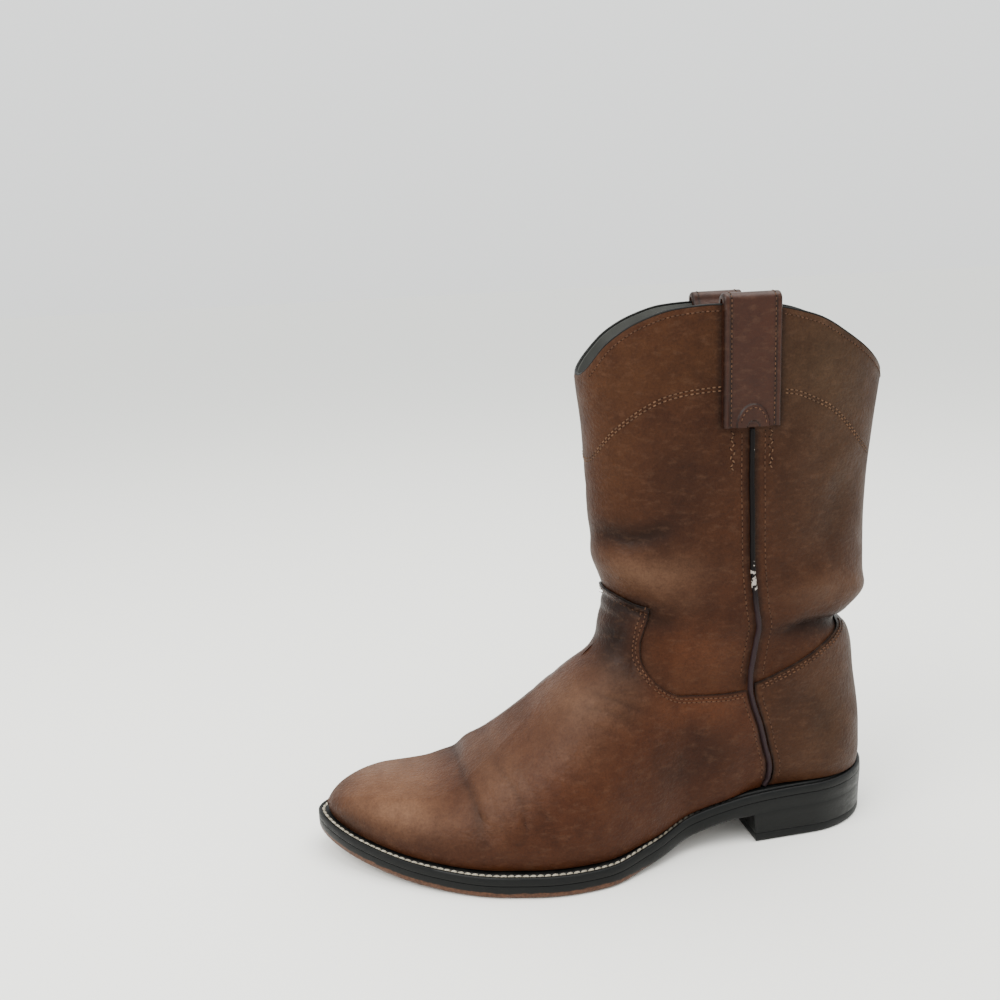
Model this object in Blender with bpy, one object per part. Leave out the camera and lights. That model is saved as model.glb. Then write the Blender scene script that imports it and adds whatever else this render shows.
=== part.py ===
"""A pull-on roper boot for the left foot, worn and standing empty on its sole.

Sizes are in millimetres and become metres in add_solid. Y runs from the toe to the heel, X to the outer
side of the foot and Z up from the floor. The finished boot is moved so that the middle of its box,
on the floor, is the origin.
"""

import math

import bpy
import numpy as np

MM = 0.001

# Driving sizes
TOE_TIP = -150.4
HEEL_BACK = 149.3
HEEL_BREAST = 74.2
HEEL_LEAN = 1.0
OUTSOLE_THICK = 7.0
WELT_THICK = 4.0
HEEL_CAP_THICK = 5.0
WALL = 2.2
OVERLAY = 1.3
GAP = 0.3
PLATE_GAP = 0.4
FEATHER_GAP = 0.8
SHAFT_SQUARENESS = 2.2
FOOT_SQUARENESS = 2.25
STRAP_WIDTH = 28.0
STRAP_THICK = 2.6
STRAP_BOTTOM = 221.4
STRAP_TOP = 280.0
STRAP_SHORT = 6.0
STRAP_BOW = 11.0
STRAP_BOW_POWER = 1.2
STRAP_MIDDLE_OUTER = 70.2
STRAP_MIDDLE_INNER = 86.0
WALL_TOP = 282.0
PIPING_HALF = 1.6
PIPING_PROUD = 1.9
PIPING_CLEAR = 0.55
PIPING_SHORT = 1.5
PIPING_FIRST = 0.012
COLLAR_BEAD = 0.75
INSOLE_THICK = 2.6
SEAM_ROOM = 2.1

# How the foot's form bulges over its feather, narrows inside the heel and runs into the shaft
BULGE = 2.2
BULGE_RISE = 6.0
FOOT_FADE_START = 55.0
FOOT_FADE_END = 115.0
FOOT_FADE = 0.45
BLEND = 10.0

# How finely each surface is cut into faces
UPPER_COLUMNS = 20
UPPER_ROWS = 27
VAMP_ROWS = 19
COUNTER_ROWS = 17
SOLE_POINTS = 46
HEEL_POINTS = 24
PIPING_ROWS = 34
PIPING_FACETS = 5
BEAD_FACETS = 6
STRAP_LEG_ROWS = 7
STRAP_BEND_ROWS = 7
STRAP_BOW_ROWS = 11
STRAP_COLUMNS = 5

# The prisms that cut the second layers: how far they reach, and their corners in front and behind
CUT_REACH = 120.0
CUT_MIDDLE = 1.0
VAMP_CORNER = ((-170.0, -10.0),)
COUNTER_CORNER = ((170.0, -10.0),)

# The sole from above: centre line and half width, before the toe and heel are rounded off
OUTLINE_COLUMNS = ("y", "centre", "half")
OUTLINE = (
    (-151.5, -17.0, 51.0),
    (-117.0, -10.4, 52.1),
    (-61.0, 2.7, 53.2),
    (-40.0, 6.7, 53.7),
    (-10.0, 9.7, 49.7),
    (15.0, 8.7, 40.7),
    (42.0, 4.8, 33.8),
    (72.0, 3.3, 34.8),
    (100.0, 1.8, 35.3),
    (151.5, 0.4, 34.9),
)
TOE_REACH = 90.0
TOE_POWER = 1.7
HEEL_REACH = 42.0
HEEL_POWER = 2.0

# The sole from the side: how high its underside is, and how far in the upper stands on the welt
PROFILE_COLUMNS = ("y", "under", "inset")
PROFILE = (
    (-151.5, 12.0, 8.0),
    (-130.0, 6.4, 7.8),
    (-100.0, 1.6, 7.5),
    (-66.0, 0.0, 7.5),
    (-8.0, 0.0, 7.0),
    (20.0, 3.6, 5.2),
    (40.0, 9.0, 4.0),
    (58.0, 13.4, 3.5),
    (72.0, 15.8, 3.4),
    (86.0, 16.8, 3.4),
    (100.0, 17.2, 3.4),
    (151.5, 17.5, 4.4),
)

# The ridge of the vamp, from the toe up over the instep
RIDGE_COLUMNS = ("y", "x", "z")
RIDGE = (
    (-144.8, -17.0, 24.0),
    (-142.0, -17.0, 28.0),
    (-138.0, -16.5, 31.9),
    (-131.0, -15.5, 35.8),
    (-122.0, -14.0, 38.7),
    (-112.0, -12.5, 40.3),
    (-100.0, -11.0, 40.9),
    (-90.0, -9.5, 41.6),
    (-80.0, -8.0, 44.4),
    (-65.0, -6.0, 52.8),
    (-51.0, -4.5, 62.4),
    (-35.0, -3.0, 74.2),
    (-18.0, -2.0, 88.6),
    (-8.0, -1.0, 96.2),
    (10.0, 0.0, 105.5),
    (45.0, 0.0, 113.0),
    (158.0, 0.0, 117.0),
)

# The heel and shaft at each height: foremost and rearmost point, widest point, outer and inner side
LEVEL_COLUMNS = ("z", "front", "back", "widest", "outer", "inner")
LEVELS = (
    (10.0, 84.0, 142.0, 110.0, 30.0, 29.5),
    (29.0, 52.0, 144.7, 110.0, 31.2, 30.8),
    (38.0, 40.0, 145.5, 109.0, 33.0, 32.5),
    (50.0, 26.0, 145.0, 107.0, 34.0, 33.5),
    (67.0, 13.0, 143.2, 102.0, 34.5, 34.0),
    (85.0, 6.0, 141.0, 97.0, 35.5, 34.5),
    (97.0, 4.5, 139.4, 93.0, 36.5, 35.5),
    (105.0, 4.0, 137.2, 91.0, 37.2, 36.0),
    (112.5, 4.5, 133.2, 89.0, 38.0, 36.5),
    (117.5, 5.6, 137.6, 87.0, 39.0, 37.5),
    (124.0, 7.4, 144.4, 85.0, 40.0, 38.5),
    (132.0, 8.0, 147.9, 83.0, 40.6, 39.2),
    (143.0, 5.8, 147.6, 80.0, 41.0, 40.0),
    (155.0, 2.0, 147.3, 78.0, 41.0, 40.4),
    (185.0, 0.2, 148.2, 77.0, 41.2, 41.0),
    (215.0, -1.0, 151.6, 76.5, 42.0, 42.0),
    (247.0, -3.5, 156.2, 76.5, 43.0, 43.0),
    (290.0, -5.0, 159.0, 77.0, 44.0, 44.0),
)

# The side seams that join the front and back panels, with their piping: the inner one stands further back
SEAM_COLUMNS = ("z", "outer", "inner")
SEAM = (
    (10.0, 80.0, 82.0),
    (27.0, 81.5, 84.0),
    (34.0, 84.0, 86.0),
    (40.0, 84.3, 86.5),
    (53.5, 81.4, 85.0),
    (64.5, 78.8, 83.0),
    (77.5, 74.9, 80.5),
    (86.0, 73.2, 80.0),
    (94.0, 73.1, 81.0),
    (102.0, 73.9, 82.5),
    (112.0, 75.2, 84.0),
    (118.5, 75.9, 85.0),
    (131.0, 74.0, 84.5),
    (143.0, 72.6, 84.0),
    (155.0, 71.9, 84.0),
    (185.0, 71.4, 85.0),
    (222.0, 70.9, 86.0),
    (290.0, 70.0, 86.0),
)

# Rows that run round the upper: share of the way up the front, and the height of each at the back
ROW_COLUMNS = ("share", "back_z")
ROWS = (
    (0.0, 0.0),
    (0.2, 14.0),
    (0.38, 36.0),
    (0.5, 66.0),
    (0.54, 76.0),
    (1.0, 209.5),
)
COLLAR_FRONT = 247.0
COLLAR_BACK = 238.0
SAG_SHARE = 0.5
RISE_FROM = 0.55

# How far the collar rises above the line from its front dip to its back dip, on each side
COLLAR_COLUMNS = ("along", "outer", "inner")
COLLAR = (
    (0.0, 0.0, 0.0),
    (0.06, 16.0, 8.6),
    (0.15, 27.0, 20.2),
    (0.25, 32.7, 28.2),
    (0.37, 34.8, 33.8),
    (0.52, 34.4, 36.0),
    (0.67, 30.4, 36.4),
    (0.8, 21.0, 34.0),
    (0.92, 9.4, 26.0),
    (0.97, 3.6, 17.0),
    (1.0, 0.0, 0.0),
)

# The top edges of the vamp and the counter seen from the side, from the side seam to the middle line
EDGE_COLUMNS = ("y", "z")
VAMP_EDGE = (
    (80.0, 84.8),
    (72.0, 84.8),
    (60.0, 83.8),
    (50.0, 83.7),
    (38.2, 83.9),
    (31.2, 86.7),
    (25.1, 91.6),
    (21.2, 97.5),
    (19.3, 104.5),
    (19.5, 111.2),
    (20.9, 118.3),
    (22.8, 125.5),
    (23.6, 131.1),
    (17.4, 132.3),
    (12.4, 134.7),
    (7.8, 136.9),
    (-12.0, 143.5),
    (-170.0, 143.5),
)
COUNTER_EDGE = (
    (60.0, 83.5),
    (74.5, 87.9),
    (93.0, 95.5),
    (105.4, 101.5),
    (114.0, 106.0),
    (122.0, 109.5),
    (130.0, 112.0),
    (170.0, 113.0),
)


def column(table, names, name, at):
    """The named column at the given places of the first one, as a smooth curve that never overshoots."""
    rows = np.array(table, float)
    x = rows[:, 0]
    y = rows[:, names.index(name)]
    step = np.diff(x)
    slope = np.diff(y) / step
    before, after = slope[:-1], slope[1:]
    same = before * after > 0
    safe = np.where(same, before * after, 1.0)
    weight_a = 2 * step[1:] + step[:-1]
    weight_b = step[1:] + 2 * step[:-1]
    total = weight_a * after + weight_b * before
    inner = np.where(same, (weight_a + weight_b) * safe / np.where(same, total, 1.0), 0.0)
    tangent = np.concatenate([slope[:1], inner, slope[-1:]])
    at = np.clip(np.asarray(at, float), x[0], x[-1])
    i = np.clip(np.searchsorted(x, at, side="right") - 1, 0, len(x) - 2)
    width = step[i]
    s = (at - x[i]) / width
    return (
        y[i] * (1 + 2 * s) * (1 - s) ** 2
        + width * tangent[i] * s * (1 - s) ** 2
        + y[i + 1] * s**2 * (3 - 2 * s)
        + width * tangent[i + 1] * s**2 * (s - 1)
    )


def rounded(distance, reach, power):
    """How much of its full width an outline has at a distance from its rounded end."""
    left = 1 - np.clip(distance, 0.0, reach) / reach
    return (1 - left**power) ** (1 / power)


def outline(y, inset):
    """Centre and half width of the sole's outline, drawn in by an inset all round."""
    y = np.asarray(y, float)
    half = column(OUTLINE, OUTLINE_COLUMNS, "half", y) - inset
    toe = rounded(y - (TOE_TIP + inset), TOE_REACH - inset, TOE_POWER)
    heel = rounded((HEEL_BACK - inset) - y, HEEL_REACH - inset, HEEL_POWER)
    return column(OUTLINE, OUTLINE_COLUMNS, "centre", y), half * toe * heel


def under(y):
    """Height of the outsole's underside."""
    return column(PROFILE, PROFILE_COLUMNS, "under", y)


def welt_inset(y):
    """How far in from the sole's edge the upper meets the welt."""
    return column(PROFILE, PROFILE_COLUMNS, "inset", y)


def feather(y):
    """Height of the upper's bottom edge, just clear of the welt."""
    return under(y) + OUTSOLE_THICK + PLATE_GAP + WELT_THICK + FEATHER_GAP


def smooth_step(x):
    x = np.clip(x, 0.0, 1.0)
    return x * x * (3 - 2 * x)


def middle(y, z):
    """X of the ridge line: the vamp's ridge low down, the shaft's middle higher up."""
    ridge_x = column(RIDGE, RIDGE_COLUMNS, "x", y)
    return ridge_x * (1 - smooth_step((z - 60.0) / 60.0))


def foot_level(x, y, z, side):
    """Distance outside the foot's form: a rounded arch over the sole's outline, as high as the ridge."""
    low = feather(y)
    inset = welt_inset(y) - BULGE * (1 - np.exp(-np.maximum(z - low, 0.0) / BULGE_RISE))
    centre, half = outline(y, inset)
    half = half * (1 - FOOT_FADE * smooth_step((y - FOOT_FADE_START) / (FOOT_FADE_END - FOOT_FADE_START)))
    ridge_x = column(RIDGE, RIDGE_COLUMNS, "x", y)
    reach = np.maximum(half + side * (centre - ridge_x), 1e-3)
    rise = np.maximum(z - low, 0.0)
    top = np.maximum(column(RIDGE, RIDGE_COLUMNS, "z", y) - low, 1.0)
    level = (x / reach) ** FOOT_SQUARENESS + (rise / top) ** FOOT_SQUARENESS
    level = np.maximum(level, 1e-9) ** (1 / FOOT_SQUARENESS)
    return np.hypot(x, rise) * (1 - 1 / level)


def shaft_level(x, y, z, side):
    """Distance outside the heel and shaft: an oval at each height, from the table of levels."""
    front, back, widest = (column(LEVELS, LEVEL_COLUMNS, name, z) for name in ("front", "back", "widest"))
    half = column(LEVELS, LEVEL_COLUMNS, "outer" if side > 0 else "inner", z)
    along = np.abs(y - widest)
    reach = np.where(y > widest, back - widest, widest - front)
    level = (x / half) ** SHAFT_SQUARENESS + (along / reach) ** SHAFT_SQUARENESS
    level = np.maximum(level, 1e-9) ** (1 / SHAFT_SQUARENESS)
    return np.hypot(x, along) * (1 - 1 / level)


def form(x, y, z, side):
    """Distance outside the upper, with the foot and the shaft run softly into each other."""
    foot = foot_level(x, y, z, side)
    shaft = shaft_level(x, y, z, side)
    near = np.maximum(BLEND - np.abs(foot - shaft), 0.0) / BLEND
    return np.minimum(foot, shaft) - near * near * BLEND / 4


def half_width(y, z, side):
    """How far the upper's surface is from its middle, found by halving."""
    y, z = np.broadcast_arrays(np.asarray(y, float), np.asarray(z, float))
    low = np.zeros(y.shape)
    high = np.full(y.shape, 80.0)
    for _ in range(36):
        mid = (low + high) / 2
        inside = form(mid, y, z, side) < 0
        low = np.where(inside, mid, low)
        high = np.where(inside, high, mid)
    return low


RAY_CENTRE = np.array([60.0, 0.0])


def front_profile():
    """The front from the toe's feather to the collar's dip, as points (y, z) and their share of its length."""
    tip = TOE_TIP + welt_inset(TOE_TIP)
    ridge_y = -144.8 + (-6.0 + 144.8) * (np.linspace(0, 1, 90)) ** 1.5
    ridge = np.stack([ridge_y, column(RIDGE, RIDGE_COLUMNS, "z", ridge_y)], -1)
    shaft_z = np.linspace(100.0, COLLAR_FRONT, 60)
    shaft = np.stack([column(LEVELS, LEVEL_COLUMNS, "front", shaft_z), shaft_z], -1)
    raw = np.vstack([[(tip, float(feather(tip)))], ridge, shaft])
    ray = raw - RAY_CENTRE
    reach = np.linalg.norm(ray, axis=1)[:, None]
    ray /= reach
    low, high = reach - 15.0, reach + 30.0
    for _ in range(34):
        mid = (low + high) / 2
        at = RAY_CENTRE + ray * mid
        inside = (form(0.0, at[:, 0], at[:, 1], 1) < 0)[:, None]
        low, high = np.where(inside, mid, low), np.where(inside, high, mid)
    moved = np.where(raw[:, 1:] > 70.0, RAY_CENTRE + ray * low, raw)
    length = np.concatenate([[0.0], np.cumsum(np.linalg.norm(np.diff(moved, axis=0), axis=1))])
    return moved, length / length[-1]


FRONT_POINTS, FRONT_SHARE = front_profile()
BACK_LOW = float(feather(147.0))


def row_ends(share):
    """Front and back end (y, z) of the row at a share of the way up."""
    front_y = np.interp(share, FRONT_SHARE, FRONT_POINTS[:, 0])
    front_z = np.interp(share, FRONT_SHARE, FRONT_POINTS[:, 1])
    back_z = BACK_LOW + column(ROWS, ROW_COLUMNS, "back_z", share) * (COLLAR_BACK - BACK_LOW) / 209.5
    return front_y, front_z, column(LEVELS, LEVEL_COLUMNS, "back", back_z), back_z


def of_side(table, names, side, at):
    """The outer or the inner column of a table, by the side."""
    outer, inner = (column(table, names, name, at) for name in ("outer", "inner"))
    return np.where(np.asarray(side) > 0, outer, inner)


def row_height(share, along, y, side):
    """Height of a row: its chord, sagging with the sole low down and rising with the collar near the top."""
    front_y, front_z, back_y, back_z = row_ends(share)
    low_y, low_z, heel_y, heel_z = row_ends(0.0)
    chord = front_z + (back_z - front_z) * along
    sole_chord = low_z + (heel_z - low_z) * (y - low_y) / (heel_y - low_y)
    sag = (feather(y) - sole_chord) * np.clip(1 - share / SAG_SHARE, 0.0, 1.0) ** 2
    climb = np.clip((share - RISE_FROM) / (1 - RISE_FROM), 0.0, 1.0) ** 1.5
    return chord + sag + of_side(COLLAR, COLLAR_COLUMNS, side, along) * climb


def seam_angle(share, side):
    """Where the side seam crosses a row, as an angle from the front."""
    front_y, _, back_y, _ = row_ends(share)
    y = np.full(np.shape(share), 72.0)
    for _ in range(12):
        z = row_height(share, (y - front_y) / (back_y - front_y), y, side)
        y = of_side(SEAM, SEAM_COLUMNS, side, z)
    return np.arccos(np.clip(1 - 2 * (y - front_y) / (back_y - front_y), -1.0, 1.0))


def side_place(around, share, side):
    """(y, z) of a place on a row: around runs 0 at the front, 1 at the side seam and 2 at the back."""
    around, share = np.broadcast_arrays(np.asarray(around, float), np.asarray(share, float))
    seam = seam_angle(share, side)
    angle = np.where(around <= 1, around * seam, seam + (around - 1) * (math.pi - seam))
    front_y, _, back_y, _ = row_ends(share)
    along = (1 - np.cos(angle)) / 2
    y = front_y + (back_y - front_y) * along
    return y, row_height(share, along, y, side)


def share_at_height(around, z, side):
    """The row share at which a place round the boot reaches a height."""
    low, high = np.zeros(np.shape(around)), np.ones(np.shape(around))
    for _ in range(30):
        mid = (low + high) / 2
        below = side_place(around, mid, side)[1] < z
        low, high = np.where(below, mid, low), np.where(below, high, mid)
    return low


def surface(around, share, side):
    """Points of the upper's outer surface on one side, +1 outer and -1 inner."""
    y, z = side_place(around, share, side)
    ends = np.minimum(np.abs(around), np.abs(2 - around)) < 1e-9
    width = np.where(ends, 0.0, half_width(y, z, side))
    return np.stack([middle(y, z) + side * width, y, z], -1)


def normals(around, share, side):
    """Outward unit normals of the surface, from small steps along and across it."""
    small = 0.012
    s0, s1 = np.clip(share - small, 0, 1), np.clip(share + small, 0, 1)
    across = surface(np.minimum(around + small, 2), share, side)
    across = across - surface(np.maximum(around - small, 0), share, side)
    front_middle = (np.abs(around) < 1e-9)[..., None]
    back_middle = (np.abs(around - 2) < 1e-9)[..., None]
    across = np.where(front_middle, (side, 0.0, 0.0), np.where(back_middle, (-side, 0.0, 0.0), across))
    along = surface(around, s1, side) - surface(around, s0, side)
    out = np.cross(across, along) * side
    return out / np.linalg.norm(out, axis=-1, keepdims=True)


def grid_places(columns_per_side):
    """Places round the whole upper, front to back on the outer side and back to front on the inner."""
    around = np.linspace(0.0, 2.0, columns_per_side + 1)
    sides = np.concatenate([np.ones(columns_per_side + 1), -np.ones(columns_per_side - 1)])
    return np.concatenate([around, around[-2:0:-1]]), sides


def sheet_points(around, share, sides, offset, level_rows=()):
    """A grid of points at an offset from the upper's surface. Rows named level keep their height."""
    points = np.zeros(around.shape + (3,))
    for side in (1, -1):
        mask = sides == side
        base = surface(around[mask], share[mask], side)
        out = normals(around[mask], share[mask], side)
        points[mask] = base + out * offset
    for row in level_rows:
        flat = points[row] - base_row(around[row], share[row], sides[row])
        flat[:, 2] = 0.0
        flat *= abs(offset) / np.maximum(np.linalg.norm(flat, axis=1), 1e-6)[:, None]
        points[row] = base_row(around[row], share[row], sides[row]) + flat
    return points


def base_row(around, share, sides):
    """One row of points on the upper's own surface."""
    outer = surface(around, share, 1)
    inner = surface(around, share, -1)
    return np.where((sides > 0)[:, None], outer, inner)


def quads(rows, cols, closed, start=0):
    """Faces of a grid of points, row by row, facing out when rows go up and columns run anticlockwise."""
    last = cols if closed else cols - 1
    r, c = np.meshgrid(np.arange(rows - 1), np.arange(last), indexing="ij")
    after = (c + 1) % cols
    corners = (r * cols + c, r * cols + after, (r + 1) * cols + after, (r + 1) * cols + c)
    return (start + np.stack(corners, -1)).reshape(-1, 4)


def halves(faces):
    """Each quad as two triangles on the same diagonal, so that layers on one grid stay parallel."""
    return np.vstack([faces[:, [0, 1, 2]], faces[:, [0, 2, 3]]])


def shell(outer, inner, closed):
    """Vertices and faces of a wall between two grids, with its rims and, if open, its side edges."""
    rows, cols = outer.shape[:2]
    count = rows * cols
    vertices = np.vstack([outer.reshape(-1, 3), inner.reshape(-1, 3)])
    faces = [halves(quads(rows, cols, closed)), halves(quads(rows, cols, closed, count))[:, ::-1]]
    span = np.arange(cols if closed else cols - 1)
    after = (span + 1) % cols
    top = (rows - 1) * cols
    faces.append(halves(np.stack([span + count, after + count, after, span], -1)))
    faces.append(halves(np.stack([top + span, top + after, top + after + count, top + span + count], -1)))
    if not closed:
        low = np.arange(rows - 1) * cols
        faces.append(halves(np.stack([low + count, low, low + cols, low + cols + count], -1)))
        high = low + cols - 1
        faces.append(halves(np.stack([high, high + count, high + cols + count, high + cols], -1)))
    return vertices, np.vstack(faces)


def material(name, colour, roughness):
    made = bpy.data.materials.new(name)
    made.use_nodes = True
    shader = made.node_tree.nodes["Principled BSDF"]
    shader.inputs["Base Color"].default_value = (*colour, 1.0)
    shader.inputs["Roughness"].default_value = roughness
    shader.inputs["Metallic"].default_value = 0.0
    made.diffuse_color = (*colour, 1.0)
    return made


def add_solid(name, vertices, faces, look, smooth=True):
    """One named object from points in millimetres."""
    mesh = bpy.data.meshes.new(name)
    mesh.from_pydata((np.asarray(vertices) * MM).tolist(), [], [[int(i) for i in face] for face in faces])
    mesh.materials.append(look)
    if smooth:
        mesh.shade_smooth()
        mesh.set_sharp_from_angle(angle=math.radians(40))
    made = bpy.data.objects.new(name, mesh)
    bpy.context.scene.collection.objects.link(made)
    return made


def loop_angles(count):
    return np.arange(count) * 2 * math.pi / count


def sole_loop(angles, inset, follow, first=TOE_TIP):
    """A loop round the sole's outline, out along the outer side and back along the inner one.

    The inset may also follow the upper's own place on the welt.
    """
    tip = max(first, TOE_TIP + inset + follow * float(welt_inset(TOE_TIP)))
    back = HEEL_BACK - inset - follow * float(welt_inset(HEEL_BACK))
    y = (tip + back) / 2 - (back - tip) / 2 * np.cos(angles)
    side = np.where(np.arange(len(angles)) <= len(angles) // 2, 1.0, -1.0)
    centre, half = outline(y, inset + follow * welt_inset(y))
    half[len(angles) // 2] = 0.0
    if first == TOE_TIP:
        half[0] = 0.0
    return np.stack([centre + side * half, y], -1)


def ladder(loop_start, count):
    """Faces that close a loop whose two sides hold matching points."""
    half = count // 2
    faces = [[loop_start, loop_start + 1, loop_start + count - 1]]
    for i in range(1, half - 1):
        faces.append([loop_start + i, loop_start + i + 1, loop_start + count - i - 1, loop_start + count - i])
    faces.append([loop_start + half - 1, loop_start + half, loop_start + half + 1])
    return faces


def stack(loops):
    """Vertices and faces of a plate through loops from its underside up to its top."""
    count = len(loops[0])
    vertices = np.vstack(loops)
    faces = quads(len(loops), count, True).tolist()
    faces += [face[::-1] for face in ladder(0, count)]
    faces += ladder((len(loops) - 1) * count, count)
    return vertices, faces


def plate_loop(inset, height, follow=0.0):
    """A loop round the sole at a height above its underside."""
    flat = sole_loop(loop_angles(SOLE_POINTS), inset, follow)
    return np.column_stack([flat, under(flat[:, 1]) + height])


def outsole(look):
    """A leather outsole, rounded off where its edge meets the floor."""
    edge = ((2.4, 0.0), (0.7, 0.9), (0.0, 2.6), (0.0, OUTSOLE_THICK - 0.4), (0.4, OUTSOLE_THICK))
    return add_solid("outsole", *stack([plate_loop(inset, height) for inset, height in edge]), look)


def inner_inset():
    """The welt's inner edge, inside the upper's wall all the way round."""
    return 7.5 + WALL + 1.6


def welt(look):
    """A strip all round between outsole and upper, with a channel for its stitches."""
    low = OUTSOLE_THICK + PLATE_GAP
    high = low + WELT_THICK
    profile = (
        (inner_inset(), low),
        (0.3, low),
        (0.0, low + 0.5),
        (0.2, high - 0.7),
        (0.9, high),
        (1.9, high),
        (2.3, high - 0.6),
        (3.1, high - 0.6),
        (3.5, high),
        (inner_inset(), high),
    )
    loops = np.array([plate_loop(inset, height) for inset, height in profile])
    count = SOLE_POINTS
    rows = len(profile)
    faces = quads(rows, count, True).tolist()
    span = np.arange(count)
    after = (span + 1) % count
    top = (rows - 1) * count
    faces += np.stack([top + span, top + after, after, span], -1).tolist()
    return add_solid("welt", loops.reshape(-1, 3), faces, look)


def insole_loop(room, height):
    """A loop clear of the upper's wall by some room, at a height above the sole's underside."""
    flat = plate_loop(room, height, 1.0)
    centre = outline(flat[:, 1], 0.0)[0]
    low = feather(flat[:, 1])
    for side in (1, -1):
        mask = (flat[:, 0] - centre) * side > 0.01
        y, z = flat[mask, 1], low[mask]
        width = np.minimum(half_width(y, z + 0.5, side), half_width(y, z + 3.0, side))
        wall = (width - room) * side + middle(y, z)
        nearer = np.minimum(side * flat[mask, 0], side * wall)
        flat[mask, 0] = side * nearer
    return flat


def insole(look):
    """The insole and its filling: it fills the welt's ring and spreads to the wall above it."""
    edge = inner_inset() + PLATE_GAP
    low = OUTSOLE_THICK + PLATE_GAP
    seat = low + WELT_THICK + PLATE_GAP
    room = WALL + 1.4
    loops = (
        plate_loop(edge, low),
        plate_loop(edge, seat),
        insole_loop(room, seat),
        insole_loop(room, seat + INSOLE_THICK - 0.6),
        insole_loop(room + 0.8, seat + INSOLE_THICK),
    )
    return add_solid("insole", *stack(loops), look)


def heel_loop(inset, breast, heights):
    """A D-shaped loop: the sole's outline behind the breast, at the given heights."""
    flat = sole_loop(loop_angles(HEEL_POINTS), inset, 0.0, breast)
    centre = float(outline(breast, inset)[0])
    corners = np.array([(flat[0, 0], breast), (2 * centre - flat[0, 0], breast)])
    flat = np.vstack([[(centre, breast)], corners[:1], flat[1:], corners[1:]])
    return np.column_stack([flat, heights(flat[:, 1])])


def heel_solid(name, edge, look):
    """A heel layer through D-shaped loops, each an inset, the breast's place and a height."""
    return add_solid(name, *stack([heel_loop(*row) for row in edge]), look)


def heel_block(look):
    """The stacked heel between its cap and the outsole's underside."""
    def floor(y):
        return np.full(np.shape(y), HEEL_CAP_THICK + GAP)

    def seat(y):
        return under(y) - GAP

    edge = ((0.4, HEEL_BREAST - HEEL_LEAN, floor), (0.5, HEEL_BREAST, seat))
    return heel_solid("heel_block", edge, look)


def heel_cap(look):
    """The rubber lift that the heel stands on."""
    def at(height):
        return lambda y: np.full(np.shape(y), height)

    edge = (
        (1.8, HEEL_BREAST + 0.2, at(0.0)),
        (0.7, HEEL_BREAST - HEEL_LEAN, at(1.2)),
        (0.5, HEEL_BREAST - HEEL_LEAN, at(HEEL_CAP_THICK)),
    )
    return heel_solid("heel_cap", edge, look)


def upper(look):
    """One hollow wall from the welt to the collar, open at both ends."""
    around, sides = grid_places(UPPER_COLUMNS)
    share = np.linspace(0.0, 1.0, UPPER_ROWS)
    around, share = np.meshgrid(around, share)
    sides = np.broadcast_to(sides, around.shape)
    outer = sheet_points(around, share, sides, 0.0)
    inner = sheet_points(around, share, sides, -WALL, level_rows=(0,))
    return add_solid("upper", *shell(outer, inner, True), look)


def layer(name, columns, rows, look):
    """A second layer of leather over part of the upper, on the same lines as the upper's own grid.

    A column's number counts from the front, and is negative on the inner side.
    """
    around = np.abs(columns) * 2.0 / UPPER_COLUMNS
    share = np.linspace(0.0, 1.0, UPPER_ROWS)[:rows]
    around, share = np.meshgrid(around, share)
    sides = np.broadcast_to(np.where(columns < 0, -1.0, 1.0), around.shape)
    outer = sheet_points(around, share, sides, GAP + OVERLAY, level_rows=(0,))
    inner = sheet_points(around, share, sides, GAP, level_rows=(0,))
    return add_solid(name, *shell(outer, inner, False), look)


def keep_inside(made, outer, inner):
    """Cuts a layer to the shapes that two rings of corners (y, z) draw, one for each side of the boot."""
    count = len(outer)
    sections = ((-CUT_REACH, inner), (-CUT_MIDDLE, inner), (CUT_MIDDLE, outer), (CUT_REACH, outer))
    vertices = np.vstack([np.column_stack([np.full(count, x), corners]) for x, corners in sections])
    faces = quads(len(sections), count, True).tolist()
    span = np.arange(count)
    faces += [span[::-1].tolist(), (span + (len(sections) - 1) * count).tolist()]
    cutter = add_solid(made.name + "_cutter", vertices, faces, made.data.materials[0], smooth=False)
    cutter.hide_render = True
    cutter.display_type = "WIRE"
    cut = made.modifiers.new("edge", "BOOLEAN")
    cut.operation = "INTERSECT"
    cut.solver = "EXACT"
    cut.object = cutter
    return cutter


def seam_side(top, shift, side):
    """The side seam up to a height, moved along the boot by some millimetres, as points (y, z)."""
    heights = np.linspace(-10.0, top, 22)
    return np.column_stack([of_side(SEAM, SEAM_COLUMNS, side, heights) + shift, heights])


def vamp(look):
    """The foot's front, with its tongue, pointed ears and the curve between them and the side seams."""
    span = UPPER_COLUMNS // 2 + 1
    columns = np.arange(-span, span + 1)
    made = layer("vamp", columns, VAMP_ROWS, look)
    rings = [np.vstack([seam_side(VAMP_EDGE[0][1], -SEAM_ROOM, side), VAMP_EDGE[2:], VAMP_CORNER]) for side in (1, -1)]
    return made, keep_inside(made, *rings)


def counter(look):
    """The heel's outside layer, from side seam to side seam round the back."""
    first = UPPER_COLUMNS // 2 - 1
    outer_side = np.arange(first, UPPER_COLUMNS + 1)
    columns = np.concatenate([outer_side, -outer_side[-2::-1]])
    made = layer("counter", columns, COUNTER_ROWS, look)
    low = COUNTER_EDGE[1][1]
    rings = [np.vstack([seam_side(low, SEAM_ROOM, side), COUNTER_EDGE[2:], COUNTER_CORNER]) for side in (1, -1)]
    return made, keep_inside(made, *rings)


def frame_along(path, out):
    """Unit directions along a path, outward from the surface, and across it."""
    along = np.gradient(path, axis=0)
    along /= np.linalg.norm(along, axis=1)[:, None]
    across = np.cross(out, along)
    across /= np.linalg.norm(across, axis=1)[:, None]
    return np.cross(along, across), across


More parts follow.
